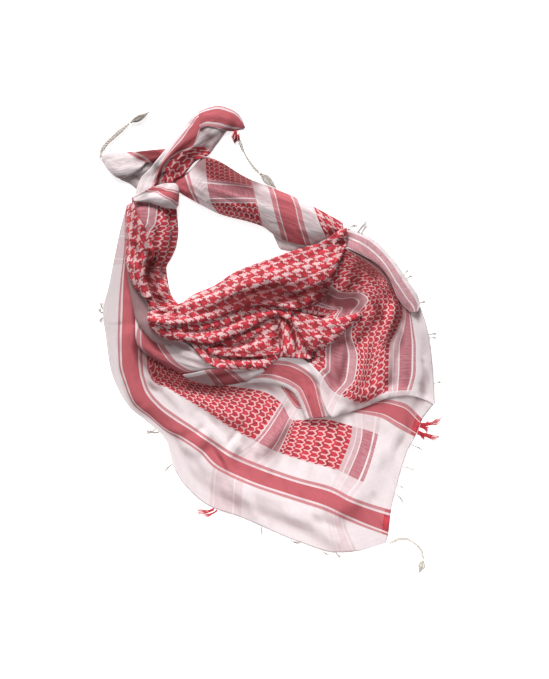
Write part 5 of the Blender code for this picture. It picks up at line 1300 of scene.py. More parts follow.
def marked_places(laid: Stretch, net: Net, reach: Grid) -> Grid:
    """The cloth's own place under each point of a stretch that has marks.

    Args:
        laid: The stretch.
        net: Its net.
        reach: Distance in cm of each point from its row's first.

    Returns:
        Places across and along the square, in cm.
    """
    table = np.array([mark.places for mark in MARKS[laid.name]], dtype=float)
    knots = [mark.along for mark in MARKS[laid.name]]
    rows = np.stack([[np.interp(net.along, knots, table[:, column, axis]) for axis in range(2)]
                     for column in range(table.shape[1])])
    if len(laid.across) > 2:
        share = np.broadcast_to(net.across, reach.shape)
        sides = np.linspace(net.across[0], net.across[-1], table.shape[1])
        if len(sides) == len(laid.across):
            sides = np.array(laid.across)
    else:
        share = reach / reach[:, -1:]
        sides = np.linspace(0.0, 1.0, table.shape[1])
    return np.stack([[np.interp(share[row], sides, rows[:, axis, row]) for row in range(len(share))]
                     for axis in range(2)], axis=2)


def cloth_places(laid: Stretch, net: Net, points: Grid) -> Grid:
    """The cloth's own place under each point of a net.

    Args:
        laid: The stretch.
        net: Its net.
        points: The net's world points in metres.

    Returns:
        Places across and along the square, in cm.
    """
    reach = reach_across(points) / CM
    if laid.name in MARKS:
        return marked_places(laid, net, reach)
    if laid.finish is Finish.WOVEN:
        return np.stack(np.broadcast_arrays(net.across[None, :], net.along[:, None]), axis=2)
    extra = reach - reach_across(points[..., :2]) / CM
    extra = extra - extra[:, extra.shape[1] // 2][:, None]
    way = np.gradient(net.plan, axis=1)
    way = way / np.maximum(np.linalg.norm(way, axis=2), 1e-9)[..., None]
    gathers = np.round((reach + 0.6 * np.sin(net.along[:, None] * 0.37)) / GATHER)
    spread = net.plan + way * (extra + GATHER_TAKES * gathers)[..., None]
    slip = np.stack([way[..., 1], -way[..., 0]], axis=2)
    spread = spread + slip * (GATHER_SLIP * np.sin(gathers * 2.2))[..., None]
    turn = math.radians(CHECK_TURN.get(laid.name, 0.0))
    return spread @ np.array(((math.cos(turn), -math.sin(turn)), (math.sin(turn), math.cos(turn))))


class ClothStretch:
    """One laid stretch of the cloth."""

    def __init__(self, laid: Stretch, heights: HeightMap) -> None:
        """Lay the stretch on what is below it, and add it to the heights.

        Args:
            laid: The stretch.
            heights: Everything that is laid below it.
        """
        self.stretch = laid
        self.net = net_of(laid, solid=False)
        plan = world_plan(self.net.plan)
        height = laid_support(laid, self.net) + (self.net.lift + crease_lift(laid.name, self.net.plan)) * MM
        short = np.maximum(0.0, heights.support(plan) + CLEAR - height)
        for _ in range(8):
            short = np.maximum(short, eased(short, 1))
        height = eased(height + short, 1)
        height = np.maximum(height, heights.support(plan, reach=1) + CLEAR)
        self.points = np.concatenate([plan, height[..., None]], axis=2)
        heights.add_cloth(self.points + np.array((0.0, 0.0, CLOTH)))

    def painted_shade_and_light(self, heights: HeightMap) -> Grid:
        """Painted shade and light at each point, from how sheltered it is by the cloth round it and from its
        creases.

        Args:
            heights: Everything that is laid.

        Returns:
            From -1, painted light on a crest, to 1, painted shade deep beside a fold.
        """
        # Painted shade and light: darker where the cloth round a point, and towards the knot, stands higher,
        # or in a crease; lighter on a crest.
        height = self.points[..., 2]
        fine = (eased(height, 6) - height) / CLOTH
        spots = self.points[..., :2]
        near = heights.mean_above(spots, NEAR_SHELTER) - height - CLOTH
        far = heights.mean_above(spots, FAR_SHELTER) - height - CLOTH
        beside = np.clip(near / NEAR_DEPTH + far / FAR_DEPTH, -1.0, 0.45)
        round_about = np.maximum(0.35 * np.clip(fine, -1.0, 1.0) + beside, -0.3)
        return np.clip(round_about + crease_shade(self.stretch.name, self.net.plan), -1.0, 1.0)

    def build(self, heights: HeightMap) -> bpy.types.Object:
        """Make the stretch's mesh.

        Args:
            heights: Everything that is laid.

        Returns:
            The object, with its places on the cloth as UVs and its painted shade and light as an attribute.
        """
        rows, columns = self.points.shape[:2]
        index = np.arange(rows * columns).reshape(rows, columns)
        corners = (index[:-1, :-1], index[:-1, 1:], index[1:, 1:], index[1:, :-1])
        faces = np.stack(corners, axis=-1).reshape(-1, 4)
        first = self.points.reshape(-1, 3)[faces[:, :3]]
        if np.cross(first[:, 1] - first[:, 0], first[:, 2] - first[:, 0])[:, 2].sum() < 0.0:
            faces = faces[:, ::-1]
        mesh = bpy.data.meshes.new(self.stretch.name + "_cloth")
        mesh.from_pydata(self.points.reshape(-1, 3).tolist(), [], faces.tolist())
        steps = np.linalg.norm(np.diff(self.net.plan, axis=0), axis=2).mean(axis=1)
        run = np.concatenate([[0.0], steps.cumsum()])
        beside = reach_across(self.points) / CM
        loose = 0.25 if self.stretch.name.endswith("panel") else 1.0
        # Painted shade and light per point, by which the cloth's material darkens and lightens its colour.
        values = {"painted_shade_light": self.painted_shade_and_light(heights), "gather": np.full(beside.shape, loose)}
        places = {"cloth_place": cloth_places(self.stretch, self.net, self.points),
                  "fold_place": np.stack([np.broadcast_to(run[:, None], beside.shape), beside], axis=2)}
        for name, place in places.items():
            layer = mesh.uv_layers.new(name=name)
            layer.data.foreach_set("uv", place.reshape(-1, 2)[faces.reshape(-1)].reshape(-1))
        for name, value in values.items():
            layer = mesh.attributes.new(name, "FLOAT", "POINT")
            layer.data.foreach_set("value", value.reshape(-1).astype(np.float32))
        mesh.shade_smooth()
        obj = linked(mesh.name, mesh)
        wall = obj.modifiers.new("cloth", "SOLIDIFY")
        wall.thickness = CLOTH
        wall.offset = 1.0
        return obj

    def flat_size(self) -> tuple[float, float, float]:
        """Measure the stretch's cut.

        Returns:
            Its width, length and area, in metres.
        """
        across, along = (np.linalg.norm(np.diff(self.points, axis=axis), axis=2) for axis in (1, 0))
        sides = (self.points[1:, :-1] - self.points[:-1, :-1], self.points[:-1, 1:] - self.points[:-1, :-1])
        area = float(np.linalg.norm(np.cross(*sides), axis=2).sum())
        width = float(across.sum(axis=1).max())
        length = float(along.sum(axis=0).max())
        return width, length, min(area, width * length)


# ---------------------------------------------------------------- finishes


@dataclass(frozen=True)
class Dye:
    """A colour of cotton, as linear red, green and blue."""

    red: float
    green: float
    blue: float

    def rgba(self, red: float = 1.0, others: float = 1.0) -> tuple[float, float, float, float]:
        """The colour as a socket takes it, with its red and its other parts scaled."""
        return (min(1.0, self.red * red), min(1.0, self.green * others), min(1.0, self.blue * others), 1.0)


WHITE = Dye(0.80, 0.70, 0.712)
SALMON = Dye(0.52, 0.115, 0.135)
BRIGHT_RED = Dye(0.66, 0.045, 0.068)
DEEP_RED = Dye(0.26, 0.03, 0.035)
FIELD_PINK = Dye(0.80, 0.51, 0.52)
SHADE = Dye(0.25, 0.105, 0.11)
STRIPE_RED = Dye(0.47, 0.13, 0.16)
CORD_WHITE = Dye(0.72, 0.65, 0.59)
FRAY_WHITE = Dye(0.50, 0.44, 0.41)
THREAD_RED = Dye(0.52, 0.03, 0.045)
# Dark colours painted as shade on the layers inside the folds
INNER_SHADE_DARK = Dye(0.16, 0.10, 0.10)
INNER_SHADE_PALE = Dye(0.22, 0.14, 0.14)
INNER_SHADE_RED = Dye(0.16, 0.02, 0.03)
FLOOR_WHITE = Dye(0.93, 0.93, 0.93)
FLOOR_PALE = Dye(0.95, 0.95, 0.95)


@dataclass(frozen=True)
class ClothFinish:
    """One finish of the cotton: how strongly its pattern and threads show, how much painted shade its folds
    and pleats get, and how high its pleats stand.
    """

    name: str
    strength: float = 1.0
    roughness: float = 0.88
    sheen: float = 0.12
    fold_shade: float = 0.85
    pleat_shade: float = 0.22
    pleat_height: float = 2.2
    thread_tone: float = 0.16


FINISHES = {
    Finish.WOVEN: ClothFinish("keffiyeh_woven_face"),
    Finish.REVERSE: ClothFinish("keffiyeh_woven_reverse", strength=0.85),
    Finish.CHECK: ClothFinish("keffiyeh_houndstooth", fold_shade=0.95, pleat_shade=0.45, pleat_height=3.0),
    Finish.PLAIN: ClothFinish("keffiyeh_plain_cotton"),
}

# columns: place across the square in cm; solid band, wave and houndstooth from there to the next place
ACROSS_SQUARE = (
    (0.0, 0, 0, 0), (7.6, 0.8, 0, 0), (8.3, 0.1, 0, 0), (8.6, 1, 0, 0), (11.8, 0.1, 0, 0), (12.1, 0.8, 0, 0),
    (12.8, 0, 0, 0), (16.4, 0, 1, 0), (26.0, 0, 0, 0), (29.2, 0.8, 0, 0), (29.9, 0.1, 0, 0), (30.2, 1, 0, 0),
    (33.4, 0.1, 0, 0), (33.7, 0.8, 0, 0), (34.4, 0, 0, 0), (37.6, 0, 0, 1),
)
# columns: place along the square in cm; figures show, stripe (1) or hatching (0.5), centre rows
ALONG_SQUARE = (
    (0.0, 0, 0, 0), (8.8, 0, 0.9, 0), (9.6, 0, 0, 0), (9.9, 0, 1, 0), (12.3, 0, 0, 0), (12.6, 0, 0.6, 0),
    (13.4, 0, 0.1, 0), (13.6, 0, 0.5, 0), (14.4, 1, 0, 0), (25.6, 0, 0, 0), (25.8, 0, 0.85, 0),
    (26.9, 0, 0, 0), (27.2, 0, 1, 0), (30.1, 0, 0, 0), (30.4, 0, 0.9, 0), (31.0, 0, 0, 0), (31.2, 1, 0, 1),
)
HALF_SQUARE = 55.0          # cm
FRAYED_HEM = 1.3            # cm
CHECK_THREAD = 0.265        # cm, an eighth of the houndstooth's repeat
CHECK_REPEAT = 8.0          # threads
CHECK_RED = 4.5             # the red ones among them
TWILL_REPEAT = 4.0          # threads
TWILL_OVER = 1.5            # where the warp lies on top
CHECK_SLACK = 0.7           # cm by which the threads wander
WAVE_PITCH = (1.12, 1.56)   # cm, from cell to cell in a column and from column to column
WAVE_STEP = 0.12            # cm, the woven steps of a cell's outline
WAVE_SWAY = 0.15            # of a column
WAVE_GAP = 0.21             # the zigzag's share of a column
NOTCH_START = 0.3           # of a cell
NOTCH_SHARE = 0.22
NOTCH_DEPTH = 0.66          # of a column
RIB = 0.14                  # cm from thread to thread in the height
WEAVE_STRENGTH = 0.25
WEAVE_HEIGHT = 0.3 * MM


class Wiring:
    """Adds nodes to one node tree and joins them."""

    def __init__(self, tree: bpy.types.NodeTree) -> None:
        """Work on a tree."""
        self.tree = tree

    def node(self, kind: str, **settings: object) -> bpy.types.Node:
        """Add a node.

        Args:
            kind: Its type's name.
            **settings: Its own properties.

        Returns:
            The node.
        """
        made = self.tree.nodes.new(kind)
        for name, setting in settings.items():
            setattr(made, name, setting)
        return made

    def put(self, socket: Socket, value: Value) -> None:
        """Set a socket's value, or join another socket to it.

        Args:
            socket: The input.
            value: What it takes.
        """
        if isinstance(value, bpy.types.NodeSocket):
            self.tree.links.new(value, socket)
        else:
            socket.default_value = value

    def fill(self, kind: str, *values: Value, **settings: object) -> bpy.types.NodeOutputs:
        """Add a node and fill its inputs in turn.

        Args:
            kind: Its type's name.
            *values: What its first inputs take.
            **settings: Its own properties.

        Returns:
            Its outputs.
        """
        made = self.node(kind, **settings)
        for socket, value in zip(made.inputs, values):
            self.put(socket, value)
        return made.outputs

    def calc(self, operation: str, *values: Value, clamp: bool = False) -> Socket:
        """One arithmetic step on values, kept from 0 to 1 where it is clamped."""
        return self.fill("ShaderNodeMath", *values, operation=operation, use_clamp=clamp)[0]

    def times(self, first: Value, second: Value) -> Socket:
        """The product of two values."""
        return self.calc("MULTIPLY", first, second)

    def plus(self, first: Value, second: Value) -> Socket:
        """The sum of two values."""
        return self.calc("ADD", first, second)

    def minus(self, first: Value, second: Value) -> Socket:
        """The difference of two values."""
        return self.calc("SUBTRACT", first, second)

    def below(self, value: Value, limit: float) -> Socket:
        """1 where a value is below a limit, and 0 elsewhere."""
        return self.calc("LESS_THAN", value, limit)

    def blend(self, share: Value, first: object, second: object, mode: str = "MIX") -> Socket:
        """Mix two colours.

        Args:
            share: Share of the second colour.
            first: First colour.
            second: Second colour.
            mode: The Mix node's blend type.

        Returns:
            The colour.
        """
        made = self.node("ShaderNodeMix", data_type="RGBA", blend_type=mode)
        for index, value in ((0, share), (6, first), (7, second)):
            self.put(made.inputs[index], value)
        return made.outputs[2]

    def steps(self, place: Value, table: Sequence[Sequence[float]]) -> list[Socket]:
        """Look a place up in a table of steps.

        Args:
            place: Distance from the square's edge in cm.
            table: Rising places with three values each.

        Returns:
            The three values there.
        """
        ramp = self.node("ShaderNodeValToRGB")
        ramp.color_ramp.interpolation = "CONSTANT"
        stops = ramp.color_ramp.elements
        while len(stops) > 1:
            stops.remove(stops[-1])
        for index, (start, *values) in enumerate(table):
            stop = stops[0] if index == 0 else stops.new(start / HALF_SQUARE)
            stop.position = start / HALF_SQUARE
            stop.color = (*values, 1.0)
        self.put(ramp.inputs[0], self.calc("DIVIDE", place, HALF_SQUARE))
        return list(self.fill("ShaderNodeSeparateColor", ramp.outputs[0])[:3])

    def axes(self, place: Value) -> list[Socket]:
        """The first two parts of a vector."""
        return list(self.fill("ShaderNodeSeparateXYZ", place)[:2])

    def vector(self, x: Value, y: Value, z: Value = 0.0) -> Socket:
        """A vector of three parts."""
        return self.fill("ShaderNodeCombineXYZ", x, y, z)[0]

    def noise(self, place: Value, scale: float, detail: float = 2.0) -> Socket:
        """Soft noise from 0 to 1.

        Args:
            place: Where it is read.
            scale: How fast it changes there.
            detail: How much finer noise it has in it.

        Returns:
            The noise.
        """
        made = self.node("ShaderNodeTexNoise")
        for name, value in (("Vector", place), ("Scale", scale), ("Detail", detail)):
            self.put(made.inputs[name], value)
        return made.outputs["Fac"]

    def streaks(self, x: Value, y: Value, scales: Point, layer: float = 0.0, detail: float = 2.0) -> Socket:
        """Soft noise that is drawn out one way.

        Args:
            x: First part of the place.
            y: Second part of the place.
            scales: How fast the noise changes along each.
            layer: Which layer of the noise is read.
            detail: How much finer noise it has in it.

        Returns:
            The noise, from 0 to 1.
        """
        return self.noise(self.vector(self.times(x, scales[0]), self.times(y, scales[1]), layer), 1.0, detail)

    def use(self, group: bpy.types.NodeTree, place: Value) -> bpy.types.NodeOutputs:
        """A group's values at a place."""
        return self.fill("ShaderNodeGroup", place, node_tree=group)

    def bump(self, height: Socket, strength: float, distance: float,
             under: Optional[Socket] = None) -> Socket:
        """Turn a height into a normal.

        Args:
            height: The height.
            strength: How strongly it counts.
            distance: What a height of 1 stands for, in metres.
            under: A normal that it is added to.

        Returns:
            The normal.
        """
        made = self.node("ShaderNodeBump")
        for name, value in (("Strength", strength), ("Distance", distance), ("Height", height)):
            self.put(made.inputs[name], value)
        if under is not None:
            self.put(made.inputs["Normal"], under)
        return made.outputs[0]

    def give(self, *values: Socket) -> bpy.types.NodeTree:
        """Hand on a group's values, and give the group."""
        self.fill("NodeGroupOutput", *values)
        return self.tree


Material = tuple[bpy.types.Material, Wiring, bpy.types.NodeInputs]


def new_group(name: str, *outputs: str) -> tuple[Wiring, Socket]:
    """Start a shader node group that gives values at a place.

    Args:
        name: Its name.
        *outputs: Its values' names.

    Returns:
        Its wiring and the place.
    """
    tree = bpy.data.node_groups.new(name, "ShaderNodeTree")
    tree.interface.new_socket("Place", in_out="INPUT", socket_type="NodeSocketVector")
    for output in outputs:
        tree.interface.new_socket(output, in_out="OUTPUT", socket_type="NodeSocketFloat")
    wire = Wiring(tree)
    return wire, wire.node("NodeGroupInput").outputs[0]


def new_material(name: str, settings: dict[str, object]) -> Material:
    """Start a material.

    Args:
        name: Its name.
        settings: Values of its shader's inputs.

    Returns:
        The material, its wiring and its shader's inputs.
    """
    made = bpy.data.materials.new(name)
    made.use_nodes = True
    inputs = made.node_tree.nodes["Principled BSDF"].inputs
    for socket, value in settings.items():
        inputs[socket].default_value = value
    return made, Wiring(made.node_tree), inputs


class KeffiyehPattern:
    """The woven pattern, the threads and the small pleats, as node groups that the finishes share."""

    def __init__(self) -> None:
        """Build the groups."""
        self.check = self.houndstooth()
        self.wave = self.wave_cells()
        self.square = self.whole_square()
        self.threads = self.cotton_threads()
        self.pleats = self.soft_pleats()

    @staticmethod
    def houndstooth() -> bpy.types.NodeTree:
        """Red threads on top in a two-by-two houndstooth.

        Returns:
            The group.
        """
        wire, place = new_group("houndstooth weave", "Red")
        x, y = wire.axes(place)
        x = wire.calc("MULTIPLY_ADD", wire.noise(wire.vector(x, y), 0.8), CHECK_SLACK, x)
        y = wire.calc("MULTIPLY_ADD", wire.noise(wire.vector(y, x, 4.0), 0.8), CHECK_SLACK, y)
        column, line = (wire.calc("FLOOR", wire.calc("DIVIDE", axis, CHECK_THREAD)) for axis in (x, y))
        warp, weft = (wire.below(wire.calc("FLOORED_MODULO", thread, CHECK_REPEAT), CHECK_RED)
                      for thread in (column, line))
        over = wire.below(wire.calc("FLOORED_MODULO", wire.plus(column, line), TWILL_REPEAT), TWILL_OVER)
        under = wire.minus(1.0, over)
        return wire.give(wire.plus(wire.times(over, warp), wire.times(under, weft)))

    @staticmethod
    def wave_cells() -> bpy.types.NodeTree:
        """Columns of linked red cells, with a pale zigzag between one column and the next.

        Returns:
            The group.
        """
        wire, place = new_group("wave cells", "Red")
        down, side = (wire.calc("DIVIDE", wire.calc("SNAP", axis, WAVE_STEP), pitch)
                      for axis, pitch in zip(wire.axes(place), WAVE_PITCH))
        sway = wire.times(wire.calc("SINE", wire.times(down, math.tau)), WAVE_SWAY)
        beside = wire.calc("FRACT", wire.plus(side, sway))
        line = wire.below(beside, WAVE_GAP)
        step = wire.calc("FRACT", wire.plus(down, NOTCH_START))
        notch = wire.times(wire.below(step, NOTCH_SHARE), wire.below(beside, NOTCH_DEPTH))
        return wire.give(wire.minus(1.0, wire.calc("MAXIMUM", line, notch)))

    def whole_square(self) -> bpy.types.NodeTree:
        """The bands, stripes and figures at a place of the square.

        Returns:
            The group.
        """
        wire, place = new_group("keffiyeh square", "Band", "Stripe", "Figure", "Field")
        x, y = wire.axes(place)
        sides = [wire.minus(HALF_SQUARE, wire.calc("ABSOLUTE", wire.minus(axis, HALF_SQUARE)))
                 for axis in (x, y)]
        band, wave_column, check_column = wire.steps(sides[0], ACROSS_SQUARE)
        shows, stripe, centre = wire.steps(sides[1], ALONG_SQUARE)
        check, wave = (wire.use(group, place)[0] for group in (self.check, self.wave))
        patterned = wire.plus(wave_column, check_column)
        in_check = wire.times(check_column, centre)
        in_wave = wire.times(wire.minus(patterned, in_check), shows)
        figure = wire.plus(wire.times(in_check, check), wire.times(in_wave, wave))
        ghost = wire.calc("MULTIPLY_ADD", patterned, 0.76, 0.24)
        frayed = wire.times(wire.below(sides[1], FRAYED_HEM), wire.times(band, 0.8))
        hatched = wire.times(stripe, wire.calc("MULTIPLY_ADD", wire.streaks(x, y, (3.4, 0.5)), 0.6, 0.6))
        return wire.give(band, wire.calc("MULTIPLY", hatched, ghost, clamp=True),
                         wire.calc("MAXIMUM", figure, frayed), wire.plus(in_wave, in_check))

    @staticmethod
    def cotton_threads() -> bpy.types.NodeTree:
        """Uneven threads both ways: their tone round 0.5, and their height.

        Returns:
            The group.
        """
        wire, place = new_group("cotton threads", "Tone", "Height")
        x, y = wire.axes(place)
        warp, weft = (wire.streaks(x, y, scales, detail=3.0) for scales in ((7.0, 0.45), (0.45, 7.0)))
        ribs = [wire.calc("SINE", wire.times(axis, math.tau / RIB)) for axis in (x, y)]
        return wire.give(wire.times(wire.plus(warp, weft), 0.5), wire.times(*ribs))

    @staticmethod
    def soft_pleats() -> bpy.types.NodeTree:
        """Small pleats that run along a fold: their height, and the painted shade in the valleys between
        them.

        Returns:
            The group.
        """
        wire, place = new_group("soft pleats", "Height", "Valley Shade")
        along, beside = wire.axes(place)
        broad = wire.streaks(along, beside, (0.10, 0.42), 3.0)
        fine = wire.streaks(along, beside, (0.24, 0.95), 8.0)
        ridge = wire.calc("ABSOLUTE", wire.calc("MULTIPLY_ADD", fine, 2.0, -1.0))
        # Painted shade: 1 along a valley's line, falling fast to 0 beside it.
        valley_shade = wire.calc("POWER", wire.calc("SUBTRACT", 1.0, ridge, clamp=True), 8.0)
        return wire.give(wire.plus(broad, wire.times(ridge, 0.5)), valley_shade)


class Cottons:
    """Makes the cloth's and the threads' materials."""

    def __init__(self) -> None:
        """Build the shared groups and every material."""
        self.pattern = KeffiyehPattern()
        self.cloth = {finish: self.cloth_material(finish) for finish in Finish}
        self.inner = self.inner_shade_material()
        self.cord = self.thread_material("fringe_cord_cotton", CORD_WHITE)
        self.fray = self.thread_material("fringe_frayed_cotton", FRAY_WHITE)
        self.red = self.thread_material("fringe_red_cotton", THREAD_RED)

    @staticmethod
    def cotton(name: str, roughness: float, sheen: float) -> Material:
        """Start a material of cotton, with its roughness and its soft sheen."""
        return new_material(name, {"Roughness": roughness, "Sheen Weight": sheen, "Sheen Roughness": 0.6,
                                   "Specular IOR Level": 0.2})

    def woven_colour(self, wire: Wiring, finish: Finish, place: Socket) -> object:
        """The colour of the threads at a place of the square.

        Args:
            wire: The material's wiring.
            finish: The finish.
            place: The place.

        Returns:
            The colour.
        """
        worn = wire.calc("MULTIPLY_ADD", wire.noise(place, 0.9, 3.0), 3.4, -1.35, clamp=True)
        red = wire.blend(worn, BRIGHT_RED.rgba(), DEEP_RED.rgba())
        if finish is Finish.CHECK:
            return wire.blend(wire.use(self.pattern.check, place)[0], FIELD_PINK.rgba(), red)
        colour: object = WHITE.rgba()
        if finish is not Finish.PLAIN:
            square = wire.use(self.pattern.square, place)
            for name, dye in (("Field", FIELD_PINK.rgba()), ("Stripe", STRIPE_RED.rgba()),
                              ("Band", SALMON.rgba()), ("Figure", red)):
                colour = wire.blend(wire.times(square[name], FINISHES[finish].strength), colour, dye)
        return colour

    def cloth_material(self, finish: Finish) -> bpy.types.Material:
        """The material of one finish of the cloth.

        Args:
            finish: The finish.

        Returns:
            The material.
        """
        look = FINISHES[finish]
        made, wire, shader = self.cotton(look.name, look.roughness, look.sheen)
        place, run = (wire.node("ShaderNodeUVMap", uv_map=name).outputs[0]
                      for name in ("cloth_place", "fold_place"))
        gather, painted_shade_light = (wire.node("ShaderNodeAttribute", attribute_name=name).outputs["Fac"]
                          for name in ("gather", "painted_shade_light"))
        threads = wire.use(self.pattern.threads, place)
        pleats = wire.use(self.pattern.pleats, run)
        # Painted shade in the small pleats' valleys, weaker on the flat panels.
        valley_shade = wire.times(wire.times(pleats["Valley Shade"], gather), look.pleat_shade)
        tone = wire.calc("MULTIPLY_ADD", threads["Tone"], look.thread_tone * 2.0, 1.0 - look.thread_tone)
        # Painted light on crests, mixed with the threads' uneven tone.
        crest = wire.calc("MAXIMUM", wire.times(painted_shade_light, -1.0), 0.0)
        light = wire.times(wire.calc("MULTIPLY_ADD", crest, 0.08, 1.0), tone)
        grey = wire.fill("ShaderNodeCombineColor", light, light, light)[0]
        colour = wire.blend(1.0, self.woven_colour(wire, finish, place), grey, "MULTIPLY")
        # Painted shade: the colour is darkened beside and under folds, in creases and in the pleats' valleys.
        deep = wire.calc("MAXIMUM", wire.times(wire.calc("MAXIMUM", painted_shade_light, 0.0), look.fold_shade), valley_shade)
        shaded = wire.blend(1.0, colour, SHADE.rgba(), "MULTIPLY")
        wire.put(shader["Base Color"], wire.blend(deep, colour, shaded))
        weave = wire.bump(threads["Height"], WEAVE_STRENGTH, WEAVE_HEIGHT)
        folds = wire.bump(wire.times(pleats["Height"], gather), 1.0, look.pleat_height * MM, weave)
        wire.put(shader["Normal"], folds)
        return made

    def inner_shade_material(self) -> bpy.types.Material:
        """Houndstooth in dark painted shade for the layers deep inside the folds, which have no places of
        their own.

        Returns:
            The material.
        """
        made, wire, shader = self.cotton("keffiyeh_inner_layers_painted_shade", 0.9, 0.1)
        spot = wire.node("ShaderNodeTexCoord").outputs["Object"]
        scaled = wire.node("ShaderNodeVectorMath", operation="SCALE")
        wire.put(scaled.inputs[0], spot)
        wire.put(scaled.inputs["Scale"], 1.0 / CM)
        check = wire.use(self.pattern.check, scaled.outputs[0])[0]
        pale = wire.blend(wire.noise(spot, 90.0, 3.0), INNER_SHADE_DARK.rgba(), INNER_SHADE_PALE.rgba())
        wire.put(shader["Base Color"], wire.blend(check, pale, INNER_SHADE_RED.rgba()))
        threads = wire.use(self.pattern.threads, scaled.outputs[0])
        wire.put(shader["Normal"], wire.bump(threads["Height"], WEAVE_STRENGTH, WEAVE_HEIGHT))
        return made

    def thread_material(self, name: str, dye: Dye) -> bpy.types.Material:
        """Twisted cotton thread.

        Args:
            name: The material's name.
            dye: Its dye.

        Returns:
            The material.
        """
        made, wire, shader = self.cotton(name, 0.85, 0.2)
        soft = wire.noise(wire.node("ShaderNodeTexCoord").outputs["Object"], 260.0, 3.0)
        wire.put(shader["Base Color"], wire.blend(soft, dye.rgba(0.75, 0.72), dye.rgba(1.2, 1.25)))
        wire.put(shader["Normal"], wire.bump(soft, 0.4, 0.4 * MM))
        return made


# ---------------------------------------------------------------- threads

UP = np.array((0.0, 0.0, 1.0))
CORD_FLATNESS = 0.6         # a plaited cord's thickness over its width
PLAIT_PITCH = 1.7 * CM      # length of a plait's repeat
PLAIT_STRANDS = 3
CORD_POINTS = 90
KNOT_LAPS = 3
HOOP_POINTS = 15            # round one lap of a knot
TUFT_THREAD = 0.42 * MM     # mean radius of a tuft's thread
TUFT_CLEAR = 0.4 * MM
BINDING_LIFT = 0.45 * MM    # of the twisted cord along a fringe
BINDING_PITCH = 3.2 * MM    # length of its twist's repeat
BINDING_PLY = 0.3 * MM      # radius of each of its plies
BINDING_SWING = 0.35 * MM
FRAY_STEP = 0.9             # cm from one short thread to the next
FRAY_THREAD = 0.2 * MM      # radius of a short thread


def unit(runs: Grid) -> Grid:
    """Runs of length 1."""
    return runs / np.linalg.norm(runs, axis=1)[:, None]


def at_place(place: float, places: Grid, points: Grid) -> Grid:
    """Read the points of an edge at one place along it."""
    return np.array([np.interp(place, places, points[:, axis]) for axis in range(3)])


class ThreadMesh:
    """Many thin tubes in one mesh."""

    def __init__(self, name: str) -> None:
        """Start an empty mesh.

        Args:
            name: Its name.
        """
        self.name = name
        self.points: list[Grid] = []
        self.faces: list[tuple[int, ...]] = []
        self.slots: list[int] = []
        self.count = 0

    def add(self, line: Grid, radii: Grid, sides: int = 4, slot: int = 0) -> None:
        """Add a tube.

        Args:
            line: Its middle's points in metres.
            radii: Its radius in metres at each point.
            sides: How many sides it has.
            slot: Which of the mesh's materials it has.
        """
        run = np.gradient(line, axis=0)
        run = run / np.maximum(np.linalg.norm(run, axis=1), 1e-9)[:, None]
        side = np.cross(run, UP)
        side[np.linalg.norm(side, axis=1) < 1e-3] = (1.0, 0.0, 0.0)
        side = unit(side)
        over = np.cross(side, run)
        turns = np.arange(sides) / sides * math.tau + math.pi / sides
        rings = (line[:, None] + radii[:, None, None] * (np.cos(turns)[None, :, None] * side[:, None]
                                                         + np.sin(turns)[None, :, None] * over[:, None]))
        base = self.count
        self.points.append(rings.reshape(-1, 3))
        self.count += len(line) * sides
        for low in range(base, self.count - sides, sides):
            for corner in range(sides):
                beside = (corner + 1) % sides
                self.faces.append((low + corner, low + beside, low + sides + beside, low + sides + corner))
        self.faces.append(tuple(base + corner for corner in reversed(range(sides))))
        self.faces.append(tuple(self.count - sides + corner for corner in range(sides)))
        self.slots += [slot] * (len(self.faces) - len(self.slots))

    def build(self, *materials: bpy.types.Material) -> bpy.types.Object:
        """Make the object.

        Args:
            *materials: Its materials.

        Returns:
            The object.
        """
        mesh = bpy.data.meshes.new(self.name)
        mesh.from_pydata(np.concatenate(self.points).tolist(), [], self.faces)
        for material in materials:
            mesh.materials.append(material)
        mesh.polygons.foreach_set("material_index", self.slots)
        mesh.shade_smooth()
        return linked(self.name, mesh)


